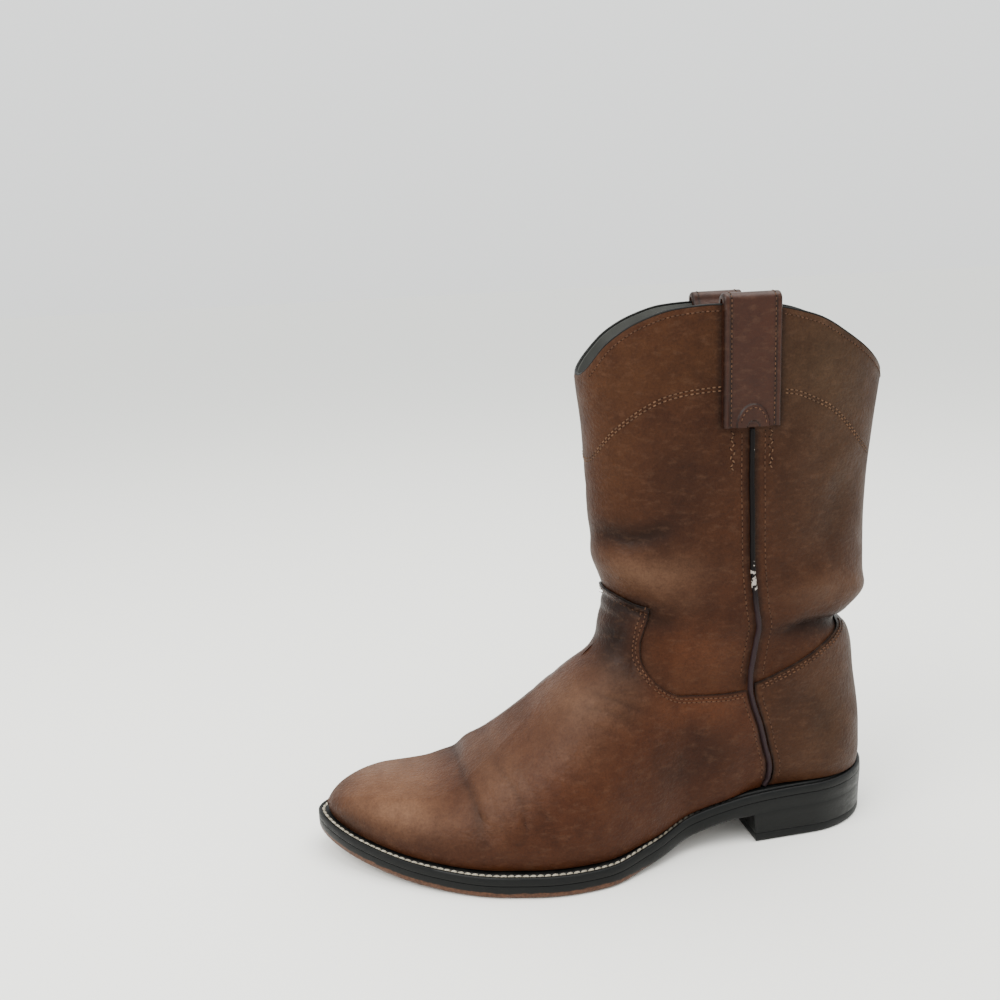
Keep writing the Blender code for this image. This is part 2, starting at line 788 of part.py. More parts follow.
def bar(path, out, across, profile):
    """A solid bar: a closed profile of (across, out) steps carried along a path."""
    points = path[:, None] + across[:, None] * profile[None, :, :1] + out[:, None] * profile[None, :, 1:]
    rows, cols = points.shape[:2]
    faces = quads(rows, cols, True).tolist()
    faces.append(list(range(cols))[::-1])
    faces.append(list(range((rows - 1) * cols, rows * cols)))
    return points.reshape(-1, 3), faces


def side_piping(name, side, look):
    """A leather bead over the side seam, from below the pull strap down to the welt."""
    top = float(share_at_height(np.array([1.0]), STRAP_BOTTOM - PIPING_SHORT, side)[0])
    share = np.linspace(PIPING_FIRST, top, PIPING_ROWS)
    around = np.ones(len(share))
    path = surface(around, share, side)
    out, across = frame_along(path, normals(around, share, side))
    out = out * np.sign(np.sum(out * normals(around, share, side), axis=1))[:, None]
    turn = np.linspace(0.0, math.pi, PIPING_FACETS)
    profile = np.stack([PIPING_HALF * np.cos(turn), PIPING_CLEAR + PIPING_PROUD * np.sin(turn)], -1)
    vertices, faces = bar(path, out, across, profile)
    return add_solid(name, vertices, faces, look)


def strap_path():
    """A pull strap's middle line, as points (distance out from the shaft's surface, height).

    It runs up outside the shaft, over the collar in a half circle, and down inside it in a bow.
    """
    outer = GAP + STRAP_THICK / 2
    inner = -(WALL + GAP + STRAP_THICK / 2)
    reach = (outer - inner) / 2
    up = np.linspace(STRAP_BOTTOM, STRAP_TOP, STRAP_LEG_ROWS)
    turn = np.linspace(0.0, math.pi, STRAP_BEND_ROWS)[1:-1]
    down = np.linspace(STRAP_TOP, STRAP_BOTTOM + STRAP_SHORT, STRAP_BOW_ROWS)
    share = (STRAP_TOP - down) / (down[0] - down[-1])
    bow = STRAP_BOW * np.sin(share * math.pi) ** STRAP_BOW_POWER
    return np.concatenate(
        [
            np.stack([np.full(len(up), outer), up], -1),
            np.stack([inner + reach + reach * np.cos(turn), STRAP_TOP + reach * np.sin(turn)], -1),
            np.stack([inner - bow, down], -1),
        ]
    )


def pull_strap(name, side, middle_y, look):
    """A leather loop over the collar: sewn down outside, bowed clear of the lining inside for a finger."""
    across = middle_y + STRAP_WIDTH * np.linspace(-0.5, 0.5, STRAP_COLUMNS)
    path = strap_path()
    step = np.gradient(path, axis=0)
    step /= np.linalg.norm(step, axis=1)[:, None]
    turned = np.stack([step[:, 1], -step[:, 0]], -1)
    grids = []
    for offset in (STRAP_THICK / 2, -STRAP_THICK / 2):
        line = path + turned * offset
        y, z = np.meshgrid(across, line[:, 1])
        wall = half_width(y, np.minimum(z, WALL_TOP), side)
        grids.append(np.stack([middle(y, z) + side * (wall + line[:, :1]), y, z], -1))
    outer, inner = grids
    if side < 0:
        outer, inner = outer[:, ::-1], inner[:, ::-1]
    return add_solid(name, *shell(outer, inner, False), look)


def collar_piping(look):
    """A thin bead along the collar's rim, between the leather and the lining."""
    around, sides = grid_places(UPPER_COLUMNS)
    share = np.ones(len(around))
    points = base_row(around, share, sides)
    out = np.where((sides > 0)[:, None], normals(around, share, 1), normals(around, share, -1))
    centre = points - out * (WALL / 2)
    along = np.roll(centre, -1, axis=0) - np.roll(centre, 1, axis=0)
    up = np.cross(out, along)
    up /= np.linalg.norm(up, axis=1)[:, None]
    up *= np.sign(up[:, 2])[:, None]
    turn = loop_angles(BEAD_FACETS) + math.pi / BEAD_FACETS
    ring = centre[:, None] + out[:, None] * (COLLAR_BEAD * np.cos(turn))[None, :, None]
    ring = ring + up[:, None] * (GAP + COLLAR_BEAD * (1 + np.sin(turn)))[None, :, None]
    count, sides_count = ring.shape[:2]
    i, j = np.meshgrid(np.arange(count), np.arange(sides_count), indexing="ij")
    ni, nj = (i + 1) % count, (j + 1) % sides_count
    corners = (i * sides_count + j, ni * sides_count + j, ni * sides_count + nj, i * sides_count + nj)
    return add_solid("collar_piping", ring.reshape(-1, 3), np.stack(corners, -1).reshape(-1, 4), look)


def clear_scene():
    for thing in list(bpy.data.objects):
        bpy.data.objects.remove(thing)


def face_outward(made):
    """Turns a solid's faces out where its volume comes out negative."""
    mesh = made.data
    points = np.array([v.co for v in mesh.vertices])
    mesh.calc_loop_triangles()
    faces = np.array([t.vertices for t in mesh.loop_triangles])
    if np.linalg.det(points[faces]).sum() < 0:
        mesh.flip_normals()


def stand_on_origin(solids):
    """Moves every solid so that the middle of the boot's box, on the floor, is the origin."""
    shown = [made for made in solids if not made.hide_render]
    points = np.vstack([np.array([v.co for v in made.data.vertices]) for made in shown])
    low, high = points.min(axis=0), points.max(axis=0)
    shift = np.array([(low[0] + high[0]) / 2, (low[1] + high[1]) / 2, low[2]])
    for made in solids:
        places = np.array([v.co for v in made.data.vertices]) - shift
        made.data.vertices.foreach_set("co", places.astype(np.float32).ravel())
        made.data.update()
    print("moved by", np.round(shift / MM, 3), "box", np.round((high - low) / MM, 2))


def main():
    clear_scene()
    brown = material("oiled_leather", (0.085, 0.040, 0.021), 0.5)
    vamp_brown = material("vamp_leather", (0.095, 0.043, 0.022), 0.45)
    strap_brown = material("strap_leather", (0.055, 0.026, 0.019), 0.38)
    dark = material("piping_leather", (0.018, 0.010, 0.009), 0.35)
    black = material("black_edge", (0.008, 0.009, 0.009), 0.35)
    sole_brown = material("sole_leather", (0.10, 0.055, 0.035), 0.6)
    rubber = material("heel_rubber", (0.012, 0.013, 0.013), 0.5)
    pale = material("insole_leather", (0.36, 0.27, 0.19), 0.7)
    solids = [
        outsole(sole_brown),
        welt(black),
        heel_block(black),
        heel_cap(rubber),
        insole(pale),
        upper(brown),
        *vamp(vamp_brown),
        *counter(vamp_brown),
        side_piping("piping_outer_side", 1, dark),
        side_piping("piping_inner_side", -1, dark),
        pull_strap("pull_strap_outer", 1, STRAP_MIDDLE_OUTER, strap_brown),
        pull_strap("pull_strap_inner", -1, STRAP_MIDDLE_INNER, strap_brown),
        collar_piping(dark),
    ]
    for made in solids:
        face_outward(made)
    stand_on_origin(solids)


if __name__ == "__main__":
    main()
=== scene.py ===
"""The looks of a worn left roper boot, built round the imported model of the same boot.

Sizes are in millimetres until a mesh is made. Y runs from the toe to the heel, X to the outer side of the
foot and Z up from the floor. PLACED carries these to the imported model's own origin.
"""

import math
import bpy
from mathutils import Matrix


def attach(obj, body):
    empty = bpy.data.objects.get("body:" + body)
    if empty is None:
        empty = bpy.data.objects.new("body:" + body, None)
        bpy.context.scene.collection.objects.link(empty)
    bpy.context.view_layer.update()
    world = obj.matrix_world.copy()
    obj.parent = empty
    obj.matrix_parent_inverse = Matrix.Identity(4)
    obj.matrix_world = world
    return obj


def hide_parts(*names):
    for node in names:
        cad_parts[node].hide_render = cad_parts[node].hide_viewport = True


bl_info = {
    "name": "Worn roper boot",
    "version": (1, 0, 0),
    "blender": (4, 5, 0),
    "location": "View3D > Sidebar > Boot",
    "description": "Builds the leather, sole, seams and stitches of a worn roper boot",
    "category": "Add Mesh",
}

import bpy
import numpy as np
from mathutils import Matrix, Vector

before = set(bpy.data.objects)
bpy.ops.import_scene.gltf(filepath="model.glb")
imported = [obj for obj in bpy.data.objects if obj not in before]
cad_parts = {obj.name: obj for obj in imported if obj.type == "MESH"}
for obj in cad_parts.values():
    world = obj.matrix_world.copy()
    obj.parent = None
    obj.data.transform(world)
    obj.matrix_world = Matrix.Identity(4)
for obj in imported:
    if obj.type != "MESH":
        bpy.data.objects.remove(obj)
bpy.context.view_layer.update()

MM = 0.001
PLACED = np.array([4.554, 2.359, 0.0])

# Driving sizes
TOE_TIP = -150.4
HEEL_BACK = 149.3
HEEL_BREAST = 74.2
OUTSOLE_THICK = 7.0
WELT_THICK = 4.0
WALL = 2.2
OVERLAY = 1.3
GAP = 0.3
PLATE_GAP = 0.4
FEATHER_GAP = 0.8
SHAFT_SQUARENESS = 2.2
FOOT_SQUARENESS = 2.25
STRAP_WIDTH = 28.0
STRAP_THICK = 2.6
STRAP_BOTTOM = 221.4
STRAP_BOW = 11.0
STRAP_BOW_POWER = 1.2
STRAP_TOP = 280.0
STRAP_MIDDLE_OUTER = 70.2
STRAP_MIDDLE_INNER = 86.0
WALL_TOP = 282.0
SEAM_ROOM = 2.1
GROOVE_PLACE = 2.4
GROOVE_WIDTH = 1.2
GROOVE_DEPTH = 0.7
BULGE = 2.2
BULGE_RISE = 6.0
FOOT_FADE_START = 55.0
FOOT_FADE_END = 115.0
FOOT_FADE = 0.45
HEEL_FADE_START = 125.0
HEEL_FADE_LENGTH = 15.0
HEEL_FADE = 0.95
BLEND = 10.0
MIDDLE_REACH = 16.0

# The sole from above: centre line and half width, before the toe and heel are rounded off
OUTLINE_COLUMNS = ("y", "centre", "half")
OUTLINE = (
    (-151.5, -17.0, 51.0),
    (-117.0, -10.4, 52.1),
    (-61.0, 2.7, 53.2),
    (-40.0, 6.7, 53.7),
    (-10.0, 9.7, 49.7),
    (15.0, 8.7, 40.7),
    (42.0, 4.8, 33.8),
    (72.0, 3.3, 34.8),
    (100.0, 1.8, 35.3),
    (151.5, 0.4, 34.9),
)
TOE_REACH = 90.0
TOE_POWER = 1.7
HEEL_REACH = 42.0
HEEL_POWER = 2.0

# The sole from the side: how high its underside is, and how far in the upper stands on the welt
PROFILE_COLUMNS = ("y", "under", "inset")
PROFILE = (
    (-151.5, 12.0, 8.0),
    (-130.0, 6.4, 7.8),
    (-100.0, 1.6, 7.5),
    (-66.0, 0.0, 7.5),
    (-8.0, 0.0, 7.0),
    (20.0, 3.6, 5.2),
    (40.0, 9.0, 4.0),
    (58.0, 13.4, 3.5),
    (72.0, 15.8, 3.4),
    (86.0, 16.8, 3.4),
    (100.0, 17.2, 3.4),
    (151.5, 17.5, 4.4),
)

# The ridge of the vamp, from the toe up over the instep
RIDGE_COLUMNS = ("y", "x", "z")
RIDGE = (
    (-144.8, -17.0, 24.0),
    (-142.0, -17.0, 28.0),
    (-138.0, -16.5, 31.9),
    (-131.0, -15.5, 35.8),
    (-122.0, -14.0, 38.7),
    (-112.0, -12.5, 40.3),
    (-100.0, -11.0, 40.9),
    (-90.0, -9.5, 41.6),
    (-80.0, -8.0, 44.4),
    (-65.0, -6.0, 52.8),
    (-51.0, -4.5, 62.4),
    (-35.0, -3.0, 74.2),
    (-18.0, -2.0, 88.6),
    (-8.0, -1.0, 96.2),
    (10.0, 0.0, 105.5),
    (45.0, 0.0, 113.0),
    (158.0, 0.0, 117.0),
)

# The heel and shaft at each height: foremost and rearmost point, widest point, outer and inner side
LEVEL_COLUMNS = ("z", "front", "back", "widest", "outer", "inner")
LEVELS = (
    (10.0, 84.0, 142.0, 110.0, 30.0, 29.5),
    (29.0, 52.0, 144.7, 110.0, 31.2, 30.8),
    (38.0, 40.0, 145.5, 109.0, 33.0, 32.5),
    (50.0, 26.0, 145.0, 107.0, 34.0, 33.5),
    (67.0, 13.0, 143.2, 102.0, 34.5, 34.0),
    (85.0, 6.0, 141.0, 97.0, 35.5, 34.5),
    (97.0, 4.5, 139.4, 93.0, 36.5, 35.5),
    (105.0, 4.0, 137.2, 91.0, 37.2, 36.0),
    (112.5, 4.5, 133.2, 89.0, 38.0, 36.5),
    (117.5, 5.6, 137.6, 87.0, 39.0, 37.5),
    (124.0, 7.4, 144.4, 85.0, 40.0, 38.5),
    (132.0, 8.0, 147.9, 83.0, 40.6, 39.2),
    (143.0, 5.8, 147.6, 80.0, 41.0, 40.0),
    (155.0, 2.0, 147.3, 78.0, 41.0, 40.4),
    (185.0, 0.2, 148.2, 77.0, 41.2, 41.0),
    (215.0, -1.0, 151.6, 76.5, 42.0, 42.0),
    (247.0, -3.5, 156.2, 76.5, 43.0, 43.0),
    (290.0, -5.0, 159.0, 77.0, 44.0, 44.0),
)

# The side seams that join the front and back panels, with their piping: the inner one stands further back
SEAM_COLUMNS = ("z", "outer", "inner")
SEAM = (
    (10.0, 80.0, 82.0),
    (27.0, 81.5, 84.0),
    (34.0, 84.0, 86.0),
    (40.0, 84.3, 86.5),
    (53.5, 81.4, 85.0),
    (64.5, 78.8, 83.0),
    (77.5, 74.9, 80.5),
    (86.0, 73.2, 80.0),
    (94.0, 73.1, 81.0),
    (102.0, 73.9, 82.5),
    (112.0, 75.2, 84.0),
    (118.5, 75.9, 85.0),
    (131.0, 74.0, 84.5),
    (143.0, 72.6, 84.0),
    (155.0, 71.9, 84.0),
    (185.0, 71.4, 85.0),
    (222.0, 70.9, 86.0),
    (290.0, 70.0, 86.0),
)

# Rows that run round the upper: share of the way up the front, and the height of each at the back
ROW_COLUMNS = ("share", "back_z")
ROWS = (
    (0.0, 0.0),
    (0.2, 14.0),
    (0.38, 36.0),
    (0.5, 66.0),
    (0.54, 76.0),
    (1.0, 209.5),
)
COLLAR_FRONT = 247.0
COLLAR_BACK = 238.0
SAG_SHARE = 0.5
RISE_FROM = 0.55

# How far the collar rises above the line from its front dip to its back dip, on each side
COLLAR_COLUMNS = ("along", "outer", "inner")
COLLAR = (
    (0.0, 0.0, 0.0),
    (0.06, 16.0, 8.6),
    (0.15, 27.0, 20.2),
    (0.25, 32.7, 28.2),
    (0.37, 34.8, 33.8),
    (0.52, 34.4, 36.0),
    (0.67, 30.4, 36.4),
    (0.8, 21.0, 34.0),
    (0.92, 9.4, 26.0),
    (0.97, 3.6, 17.0),
    (1.0, 0.0, 0.0),
)

# Edges of the second layers seen from the side. The vamp's has a lower part behind its corner, then the
# hollow up to the ear, then the tongue's top
VAMP_LOW_COLUMNS = ("y", "z")
VAMP_LOW = (
    (25.1, 91.6),
    (31.2, 86.7),
    (38.2, 83.9),
    (50.0, 83.7),
    (60.0, 83.8),
    (72.0, 84.8),
    (90.0, 84.8),
)
VAMP_SIDE_COLUMNS = ("z", "y")
VAMP_SIDE = (
    (91.6, 25.1),
    (97.5, 21.2),
    (104.5, 19.3),
    (111.2, 19.5),
    (118.3, 20.9),
    (125.5, 22.8),
    (131.1, 23.6),
)
VAMP_TOP_COLUMNS = ("y", "z")
VAMP_TOP = (
    (-12.0, 143.5),
    (7.8, 136.9),
    (12.4, 134.7),
    (17.4, 132.3),
    (23.6, 131.1),
    (40.0, 130.6),
)
COUNTER_TOP_COLUMNS = ("y", "z")
COUNTER_TOP = (
    (60.0, 83.5),
    (74.5, 87.9),
    (93.0, 95.5),
    (105.4, 101.5),
    (114.0, 106.0),
    (122.0, 109.5),
    (130.0, 112.0),
    (170.0, 113.0),
)
YOKE = (
    (-0.6, 204.0),
    (6.6, 217.8),
    (16.4, 227.9),
    (26.7, 234.7),
    (37.4, 238.1),
    (48.5, 239.5),
    (56.3, 240.0),
    (86.9, 237.0),
    (95.3, 235.3),
    (108.0, 229.6),
    (114.9, 225.6),
    (122.5, 219.1),
    (131.1, 209.9),
    (140.0, 201.8),
)

# Creases in the worn leather, as strokes in the side view. Depth is down into the leather, so a ridge is
# negative. A side's strokes run softly into the other side's over the middle line
CREASE_COLUMNS = ("side", "depth", "width", "points")
OUTER, INNER = 1, -1
CREASES = (
    (OUTER, 1.9, 4.6, ((1, 167), (7, 168), (14, 166), (23, 169), (34, 174))),
    (OUTER, 0.7, 1.4, ((3, 168), (12, 165), (22, 168))),
    (OUTER, 0.4, 1.0, ((2, 162), (12, 160), (20, 157), (30, 155))),
    (OUTER, 0.35, 0.9, ((14, 158), (24, 153), (36, 148))),
    (OUTER, 0.35, 0.9, ((26, 160), (36, 155), (46, 152))),
    (OUTER, -1.7, 7.5, ((1, 157), (9, 154), (21, 146), (36, 138), (50, 134))),
    (OUTER, 1.4, 4.5, ((20, 125), (27, 123), (36, 123))),
    (OUTER, 1.6, 2.8, ((1, 131), (8, 132), (16, 129), (22, 127))),
    (OUTER, 0.7, 2.2, ((1, 122), (8, 124), (15, 121))),
    (OUTER, 1.0, 4.0, ((1, 106), (6, 111), (12, 114))),
    (OUTER, 0.5, 1.6, ((5, 103), (11, 112), (14, 124))),
    (OUTER, 0.4, 1.2, ((14, 95), (16, 106), (18, 118))),
    (OUTER, 2.3, 3.2, ((160, 110), (134, 112), (118, 116), (103, 118), (88, 115))),
    (OUTER, 0.9, 1.6, ((160, 109), (135, 112), (119, 115), (104, 117), (94, 116))),
    (OUTER, 0.4, 1.4, ((126, 123), (112, 125), (99, 123))),
    (OUTER, -1.7, 6.5, ((170, 124), (144, 127), (130, 133), (114, 139), (96, 138))),
    (OUTER, 0.8, 5.0, ((-86, 55), (-77, 50), (-70, 42), (-70, 31), (-73, 21))),
    (OUTER, 0.6, 1.5, ((-80, 51), (-72, 43), (-69, 36), (-71, 28))),
    (OUTER, 0.45, 1.1, ((-71, 38), (-66, 33), (-67, 27), (-72, 22))),
    (OUTER, 0.4, 1.1, ((-64, 30), (-66, 24), (-71, 19))),
    (OUTER, -0.6, 6.5, ((-74, 57), (-63, 50), (-59, 39), (-61, 27))),
    (OUTER, 0.8, 2.0, ((-59, 57), (-52, 49), (-48, 40), (-49, 31), (-53, 22))),
    (OUTER, 0.4, 0.9, ((-53, 44), (-49, 36), (-46, 29))),
    (OUTER, 0.35, 0.9, ((-44, 48), (-39, 41), (-36, 33))),
    (OUTER, 0.35, 0.8, ((-40, 34), (-36, 28), (-33, 22))),
    (OUTER, 0.3, 0.8, ((-50, 28), (-44, 23), (-38, 21))),
    (OUTER, 0.6, 1.6, ((-67, 51), (-62, 43), (-61, 34), (-64, 26))),
    (OUTER, 0.5, 1.5, ((-48, 56), (-42, 47), (-40, 37), (-42, 27))),
    (OUTER, 0.45, 1.3, ((-57, 46), (-54, 38), (-56, 29))),
    (OUTER, 0.4, 1.3, ((-43, 42), (-35, 36), (-33, 27))),
    (OUTER, 0.4, 1.2, ((-62, 33), (-56, 27), (-50, 25))),
    (OUTER, 1.1, 1.7, ((-8, 89), (4, 86), (13, 81), (19, 77))),
    (OUTER, 0.5, 0.9, ((1, 83), (11, 78), (22, 71), (30, 67))),
    (OUTER, 0.45, 0.9, ((6, 79), (17, 71), (26, 66))),
    (OUTER, 0.35, 0.8, ((12, 84), (21, 78), (29, 73))),
    (OUTER, 0.8, 1.4, ((-13, 83), (-2, 82), (8, 76), (14, 71))),
    (OUTER, 0.5, 1.4, ((-18, 77), (-7, 75), (3, 70))),
    (OUTER, 0.45, 1.3, ((0, 92), (9, 88), (18, 84))),
    (OUTER, 0.3, 1.2, ((-26, 72), (-16, 70), (-6, 65))),
    (OUTER, -0.7, 7.0, ((-30, 80), (-20, 74), (-8, 66))),
    (OUTER, 0.9, 9.0, ((36, 72), (52, 56), (60, 44))),
    (OUTER, 0.8, 7.0, ((98, 84), (112, 66), (116, 52))),
    (OUTER, 0.4, 7.0, ((40, 200), (36, 184), (32, 176))),
    (OUTER, -0.6, 8.0, ((96, 210), (100, 180), (104, 160))),
    (OUTER, 0.6, 7.0, ((120, 195), (118, 172), (112, 154))),
    (OUTER, 0.25, 0.8, ((58, 221), (59, 201), (63, 187), (64, 177))),
    (OUTER, 0.22, 0.7, ((34, 209), (41, 196), (44, 183))),
    (INNER, 1.6, 4.2, ((1, 164), (12, 160), (26, 162), (42, 168))),
    (INNER, -1.4, 7.0, ((1, 152), (14, 147), (30, 141), (48, 139))),
    (INNER, 1.3, 3.0, ((1, 190), (10, 184), (24, 186), (38, 192))),
    (INNER, 0.9, 2.0, ((1, 203), (14, 197), (30, 202))),
    (INNER, 0.7, 1.6, ((4, 178), (18, 175), (34, 180))),
    (INNER, 0.6, 1.4, ((8, 212), (20, 208), (34, 214))),
    (INNER, 0.5, 1.3, ((14, 222), (28, 217), (40, 224))),
    (INNER, 0.6, 1.5, ((30, 206), (44, 196), (56, 186))),
    (INNER, 1.6, 4.0, ((140, 150), (128, 146), (112, 150), (98, 158))),
    (INNER, 2.3, 3.2, ((160, 110), (134, 112), (118, 116), (104, 118), (94, 116))),
    (INNER, 0.9, 1.6, ((160, 109), (135, 112), (119, 115), (106, 117))),
    (INNER, -1.7, 6.5, ((170, 124), (144, 127), (130, 132), (116, 136))),
    (INNER, 1.3, 2.8, ((1, 131), (8, 132), (16, 129), (22, 127))),
    (INNER, 1.3, 4.0, ((26, 124), (38, 130), (52, 132))),
    (INNER, 1.0, 5.5, ((-86, 55), (-78, 50), (-72, 42), (-72, 31), (-76, 21))),
    (INNER, -0.9, 6.5, ((-75, 57), (-66, 49), (-62, 38))),
    (INNER, 0.8, 2.0, ((-20, 86), (-6, 82), (6, 74), (16, 64))),
    (INNER, 0.6, 1.6, ((-30, 76), (-18, 72), (-6, 62))),
    (INNER, 0.9, 8.0, ((44, 70), (56, 54), (60, 42))),
)

# Soft patches of another colour, in the side view: how strongly they show, and how far they spread
# Some patches are painted light: the throat's are painted shade under the tongue and under the shaft's
# bloom patch is a painted highlight, and the dark brown ones in crease troughs are painted shade.
# bulge over the counter, the bloom patches are painted highlights, partly pale waxy bloom, the toe's
PATCH_COLUMNS = ("side", "y", "z", "spread_y", "spread_z", "strength", "colour")
DARK_BROWN = (24, 10, 4)
THROAT_SHADE = (14, 6, 4)
TAN_NAP = (60, 35, 15)
GREY_BROWN = (58, 43, 29)
BLOOM_AND_HIGHLIGHT = (86, 62, 46)
RED_BROWN = (48, 22, 10)
TOE_HIGHLIGHT = (118, 88, 66)
RED_TAN = (78, 44, 24)
PATCHES = (
    (OUTER, 16, 246, 36, 30, 0.55, TAN_NAP),
    (OUTER, 50, 258, 20, 26, 0.35, TAN_NAP),
    (OUTER, 34, 228, 26, 10, 0.35, RED_BROWN),
    (OUTER, 110, 252, 42, 34, 0.75, GREY_BROWN),
    (OUTER, 122, 196, 34, 56, 0.5, GREY_BROWN),
    (OUTER, 92, 180, 16, 40, 0.3, DARK_BROWN),
    (OUTER, 40, 196, 22, 34, 0.4, DARK_BROWN),
    (OUTER, 6, 200, 14, 30, 0.4, TAN_NAP),
    # Painted shade in the trough of the crease round the ankle, then a painted highlight on the bulge above
    # it
    (OUTER, 10, 169, 24, 8, 0.6, DARK_BROWN),
    (OUTER, 26, 150, 24, 9, 0.75, BLOOM_AND_HIGHLIGHT),
    (OUTER, 52, 132, 20, 24, 0.3, RED_BROWN),
    # Painted shade in the throat under the tongue, and under the shaft's bulge over the counter
    (OUTER, 12, 130, 20, 6, 0.9, THROAT_SHADE),
    (OUTER, 7, 114, 13, 20, 0.95, THROAT_SHADE),
    (OUTER, 13, 98, 12, 11, 0.6, THROAT_SHADE),
    (OUTER, 118, 116, 30, 6, 0.75, THROAT_SHADE),
    # Painted highlights, partly pale waxy bloom, on the bulge at the back and on the instep
    (OUTER, 120, 134, 26, 8, 0.35, BLOOM_AND_HIGHLIGHT),
    (OUTER, 2, 88, 18, 12, 0.35, BLOOM_AND_HIGHLIGHT),
    (OUTER, -14, 84, 18, 9, 0.8, BLOOM_AND_HIGHLIGHT),
    # A painted highlight on the toe
    (OUTER, -110, 33, 26, 9, 0.62, TOE_HIGHLIGHT),
    (OUTER, -124, 40, 30, 5, 0.4, RED_TAN),
    # A painted highlight, partly pale waxy bloom, on the vamp's ridge
    (OUTER, -66, 38, 9, 12, 0.3, BLOOM_AND_HIGHLIGHT),
    (OUTER, -100, 22, 40, 7, 0.3, DARK_BROWN),
    # Painted highlights, partly pale waxy bloom, along the vamp's ridge
    (OUTER, -56, 52, 14, 12, 0.5, BLOOM_AND_HIGHLIGHT),
    (OUTER, -30, 68, 22, 12, 0.35, BLOOM_AND_HIGHLIGHT),
    (OUTER, -136, 22, 12, 8, 0.7, DARK_BROWN),
    (OUTER, 44, 76, 24, 8, 0.5, RED_TAN),
    (OUTER, 40, 48, 34, 16, 0.45, DARK_BROWN),
    (OUTER, 118, 60, 20, 30, 0.35, GREY_BROWN),
    (OUTER, 92, 64, 10, 34, 0.2, DARK_BROWN),
    (OUTER, 42, 106, 20, 14, 0.6, RED_TAN),
    (INNER, 20, 250, 40, 30, 0.3, GREY_BROWN),
    (INNER, 20, 196, 30, 26, 0.45, RED_BROWN),
    # Painted shade in the trough of the crease round the ankle
    (INNER, 44, 170, 30, 22, 0.5, DARK_BROWN),
    (INNER, 110, 160, 40, 40, 0.4, DARK_BROWN),
    # Painted shade in the throat under the tongue, and under the shaft's bulge over the counter
    (INNER, 12, 130, 20, 8, 0.7, THROAT_SHADE),
    (INNER, 30, 112, 30, 12, 0.5, THROAT_SHADE),
    (INNER, 116, 116, 30, 6, 0.7, THROAT_SHADE),
    # A painted highlight on the toe
    (INNER, -110, 33, 30, 9, 0.5, TOE_HIGHLIGHT),
    (INNER, -136, 22, 12, 8, 0.6, DARK_BROWN),
    # Painted shade in the toe's crease
    (INNER, -74, 36, 8, 20, 0.5, DARK_BROWN),
    (INNER, 0, 76, 26, 20, 0.4, RED_BROWN),
    (INNER, 40, 56, 30, 26, 0.4, DARK_BROWN),
)


# The front profile: the rays and steps that find it, and where its parts end
RAY_CENTRE = np.array([60.0, 0.0])
RAY_INWARD = 15.0
RAY_OUTWARD = 30.0
RIDGE_END = -6.0
RIDGE_POINTS = 90
RIDGE_EASE = 1.5
FRONT_LOW = 100.0
FRONT_STEPS = 60
MOVED_ABOVE = 70.0
BACK_FEATHER = 147.0
WIDEST_HALF = 80.0
HALVINGS = 26

# How finely each surface is cut
SHAFT_COLUMNS = 104
SHAFT_ROWS = 176
LINING_COLUMNS = 72
LINING_ROWS = 132
VAMP_LOW_ROWS = 76
VAMP_HIGH_ROWS = 40
TONGUE_STEPS = 62
VAMP_BEHIND_STEPS = 48
COUNTER_COLUMNS = 64
COUNTER_ROWS = 70
TONGUE_EDGE_STEPS = 400
SEAM_STEPS = 160
PIPING_STEPS = 300
COLLAR_EDGE_COLUMNS = 110
STRAP_LEG_STEPS = 110
STRAP_BEND_STEPS = 15
STRAP_BOW_STEPS = 40
STRAP_STEPS = 57
SOLE_STEPS = 420
HEEL_STEPS = 140
FINER = 3
HEEL_FINER = 5
ROUND_STEPS = 11
LINE_STEPS = 500
WELT_THREAD_STEPS = 3000

# Painted shade in hollows, and paler ridges: the depth for all of it, and the most that shows
SUNK_FULL = 2.8
DARKEST = 0.75
RAISED_FULL = 7.0
PALEST = 0.2
GROOVE_SHADE = 2.6

# The cut edges of the second layers, and how the tongue's curls away
CUT_EDGE_TINT = 0.02
EDGE_BEVEL = 0.5
EDGE_SHADE = 0.3
LAYER_SUNK = 0.1
TONGUE_CURL = 0.5
TONGUE_CURL_REACH = 3.5
TONGUE_CURL_END = 26.0
TONGUE_CURL_FADE = 3.0
CURL_UNDER = 0.8

# The wall: where its outer leather ends and its lining starts, as shares of its thickness
OUTER_SHARE = 0.55
LINING_SHARE = 0.7
RIM_TURN = 0.35
LINING_DROP = 0.3
LINING_COLOUR = (74, 75, 72)

# Piping of the side seams and the collar
PIPING_HALF = 1.3
PIPING_PROUD = 1.5
PIPING_LOW_PROUD = 2.2
PIPING_LOW_TOP = 92.0
PIPING_LOW_FADE = 10.0
PIPING_LOW_COLOUR = (38, 28, 30)
PIPING_WORN_HEIGHT = 145.0
PIPING_WORN_SPREAD = 7.0
BEAD_HALF = 0.75
BEAD_RISE = 0.3
BEAD_TALL = 0.6

# Pull straps: how much shorter the inner leg is, the lips, and the half-moon patch at the foot
STRAP_SHORT = 6.0
LIP_PLACE = 12.6
LIP_HEIGHT = 0.9
LIP_WIDTH = 0.9
LIP_FADE = 5.0
STRAP_EDGE_FROM = 0.93
STRAP_EDGE_DROP = 0.9
PATCH_HALF = 8.4
PATCH_RISE = 11.4
PATCH_THICK = 1.2
PATCH_NOTCH = 2.6
PATCH_NOTCH_SOFT = 0.8

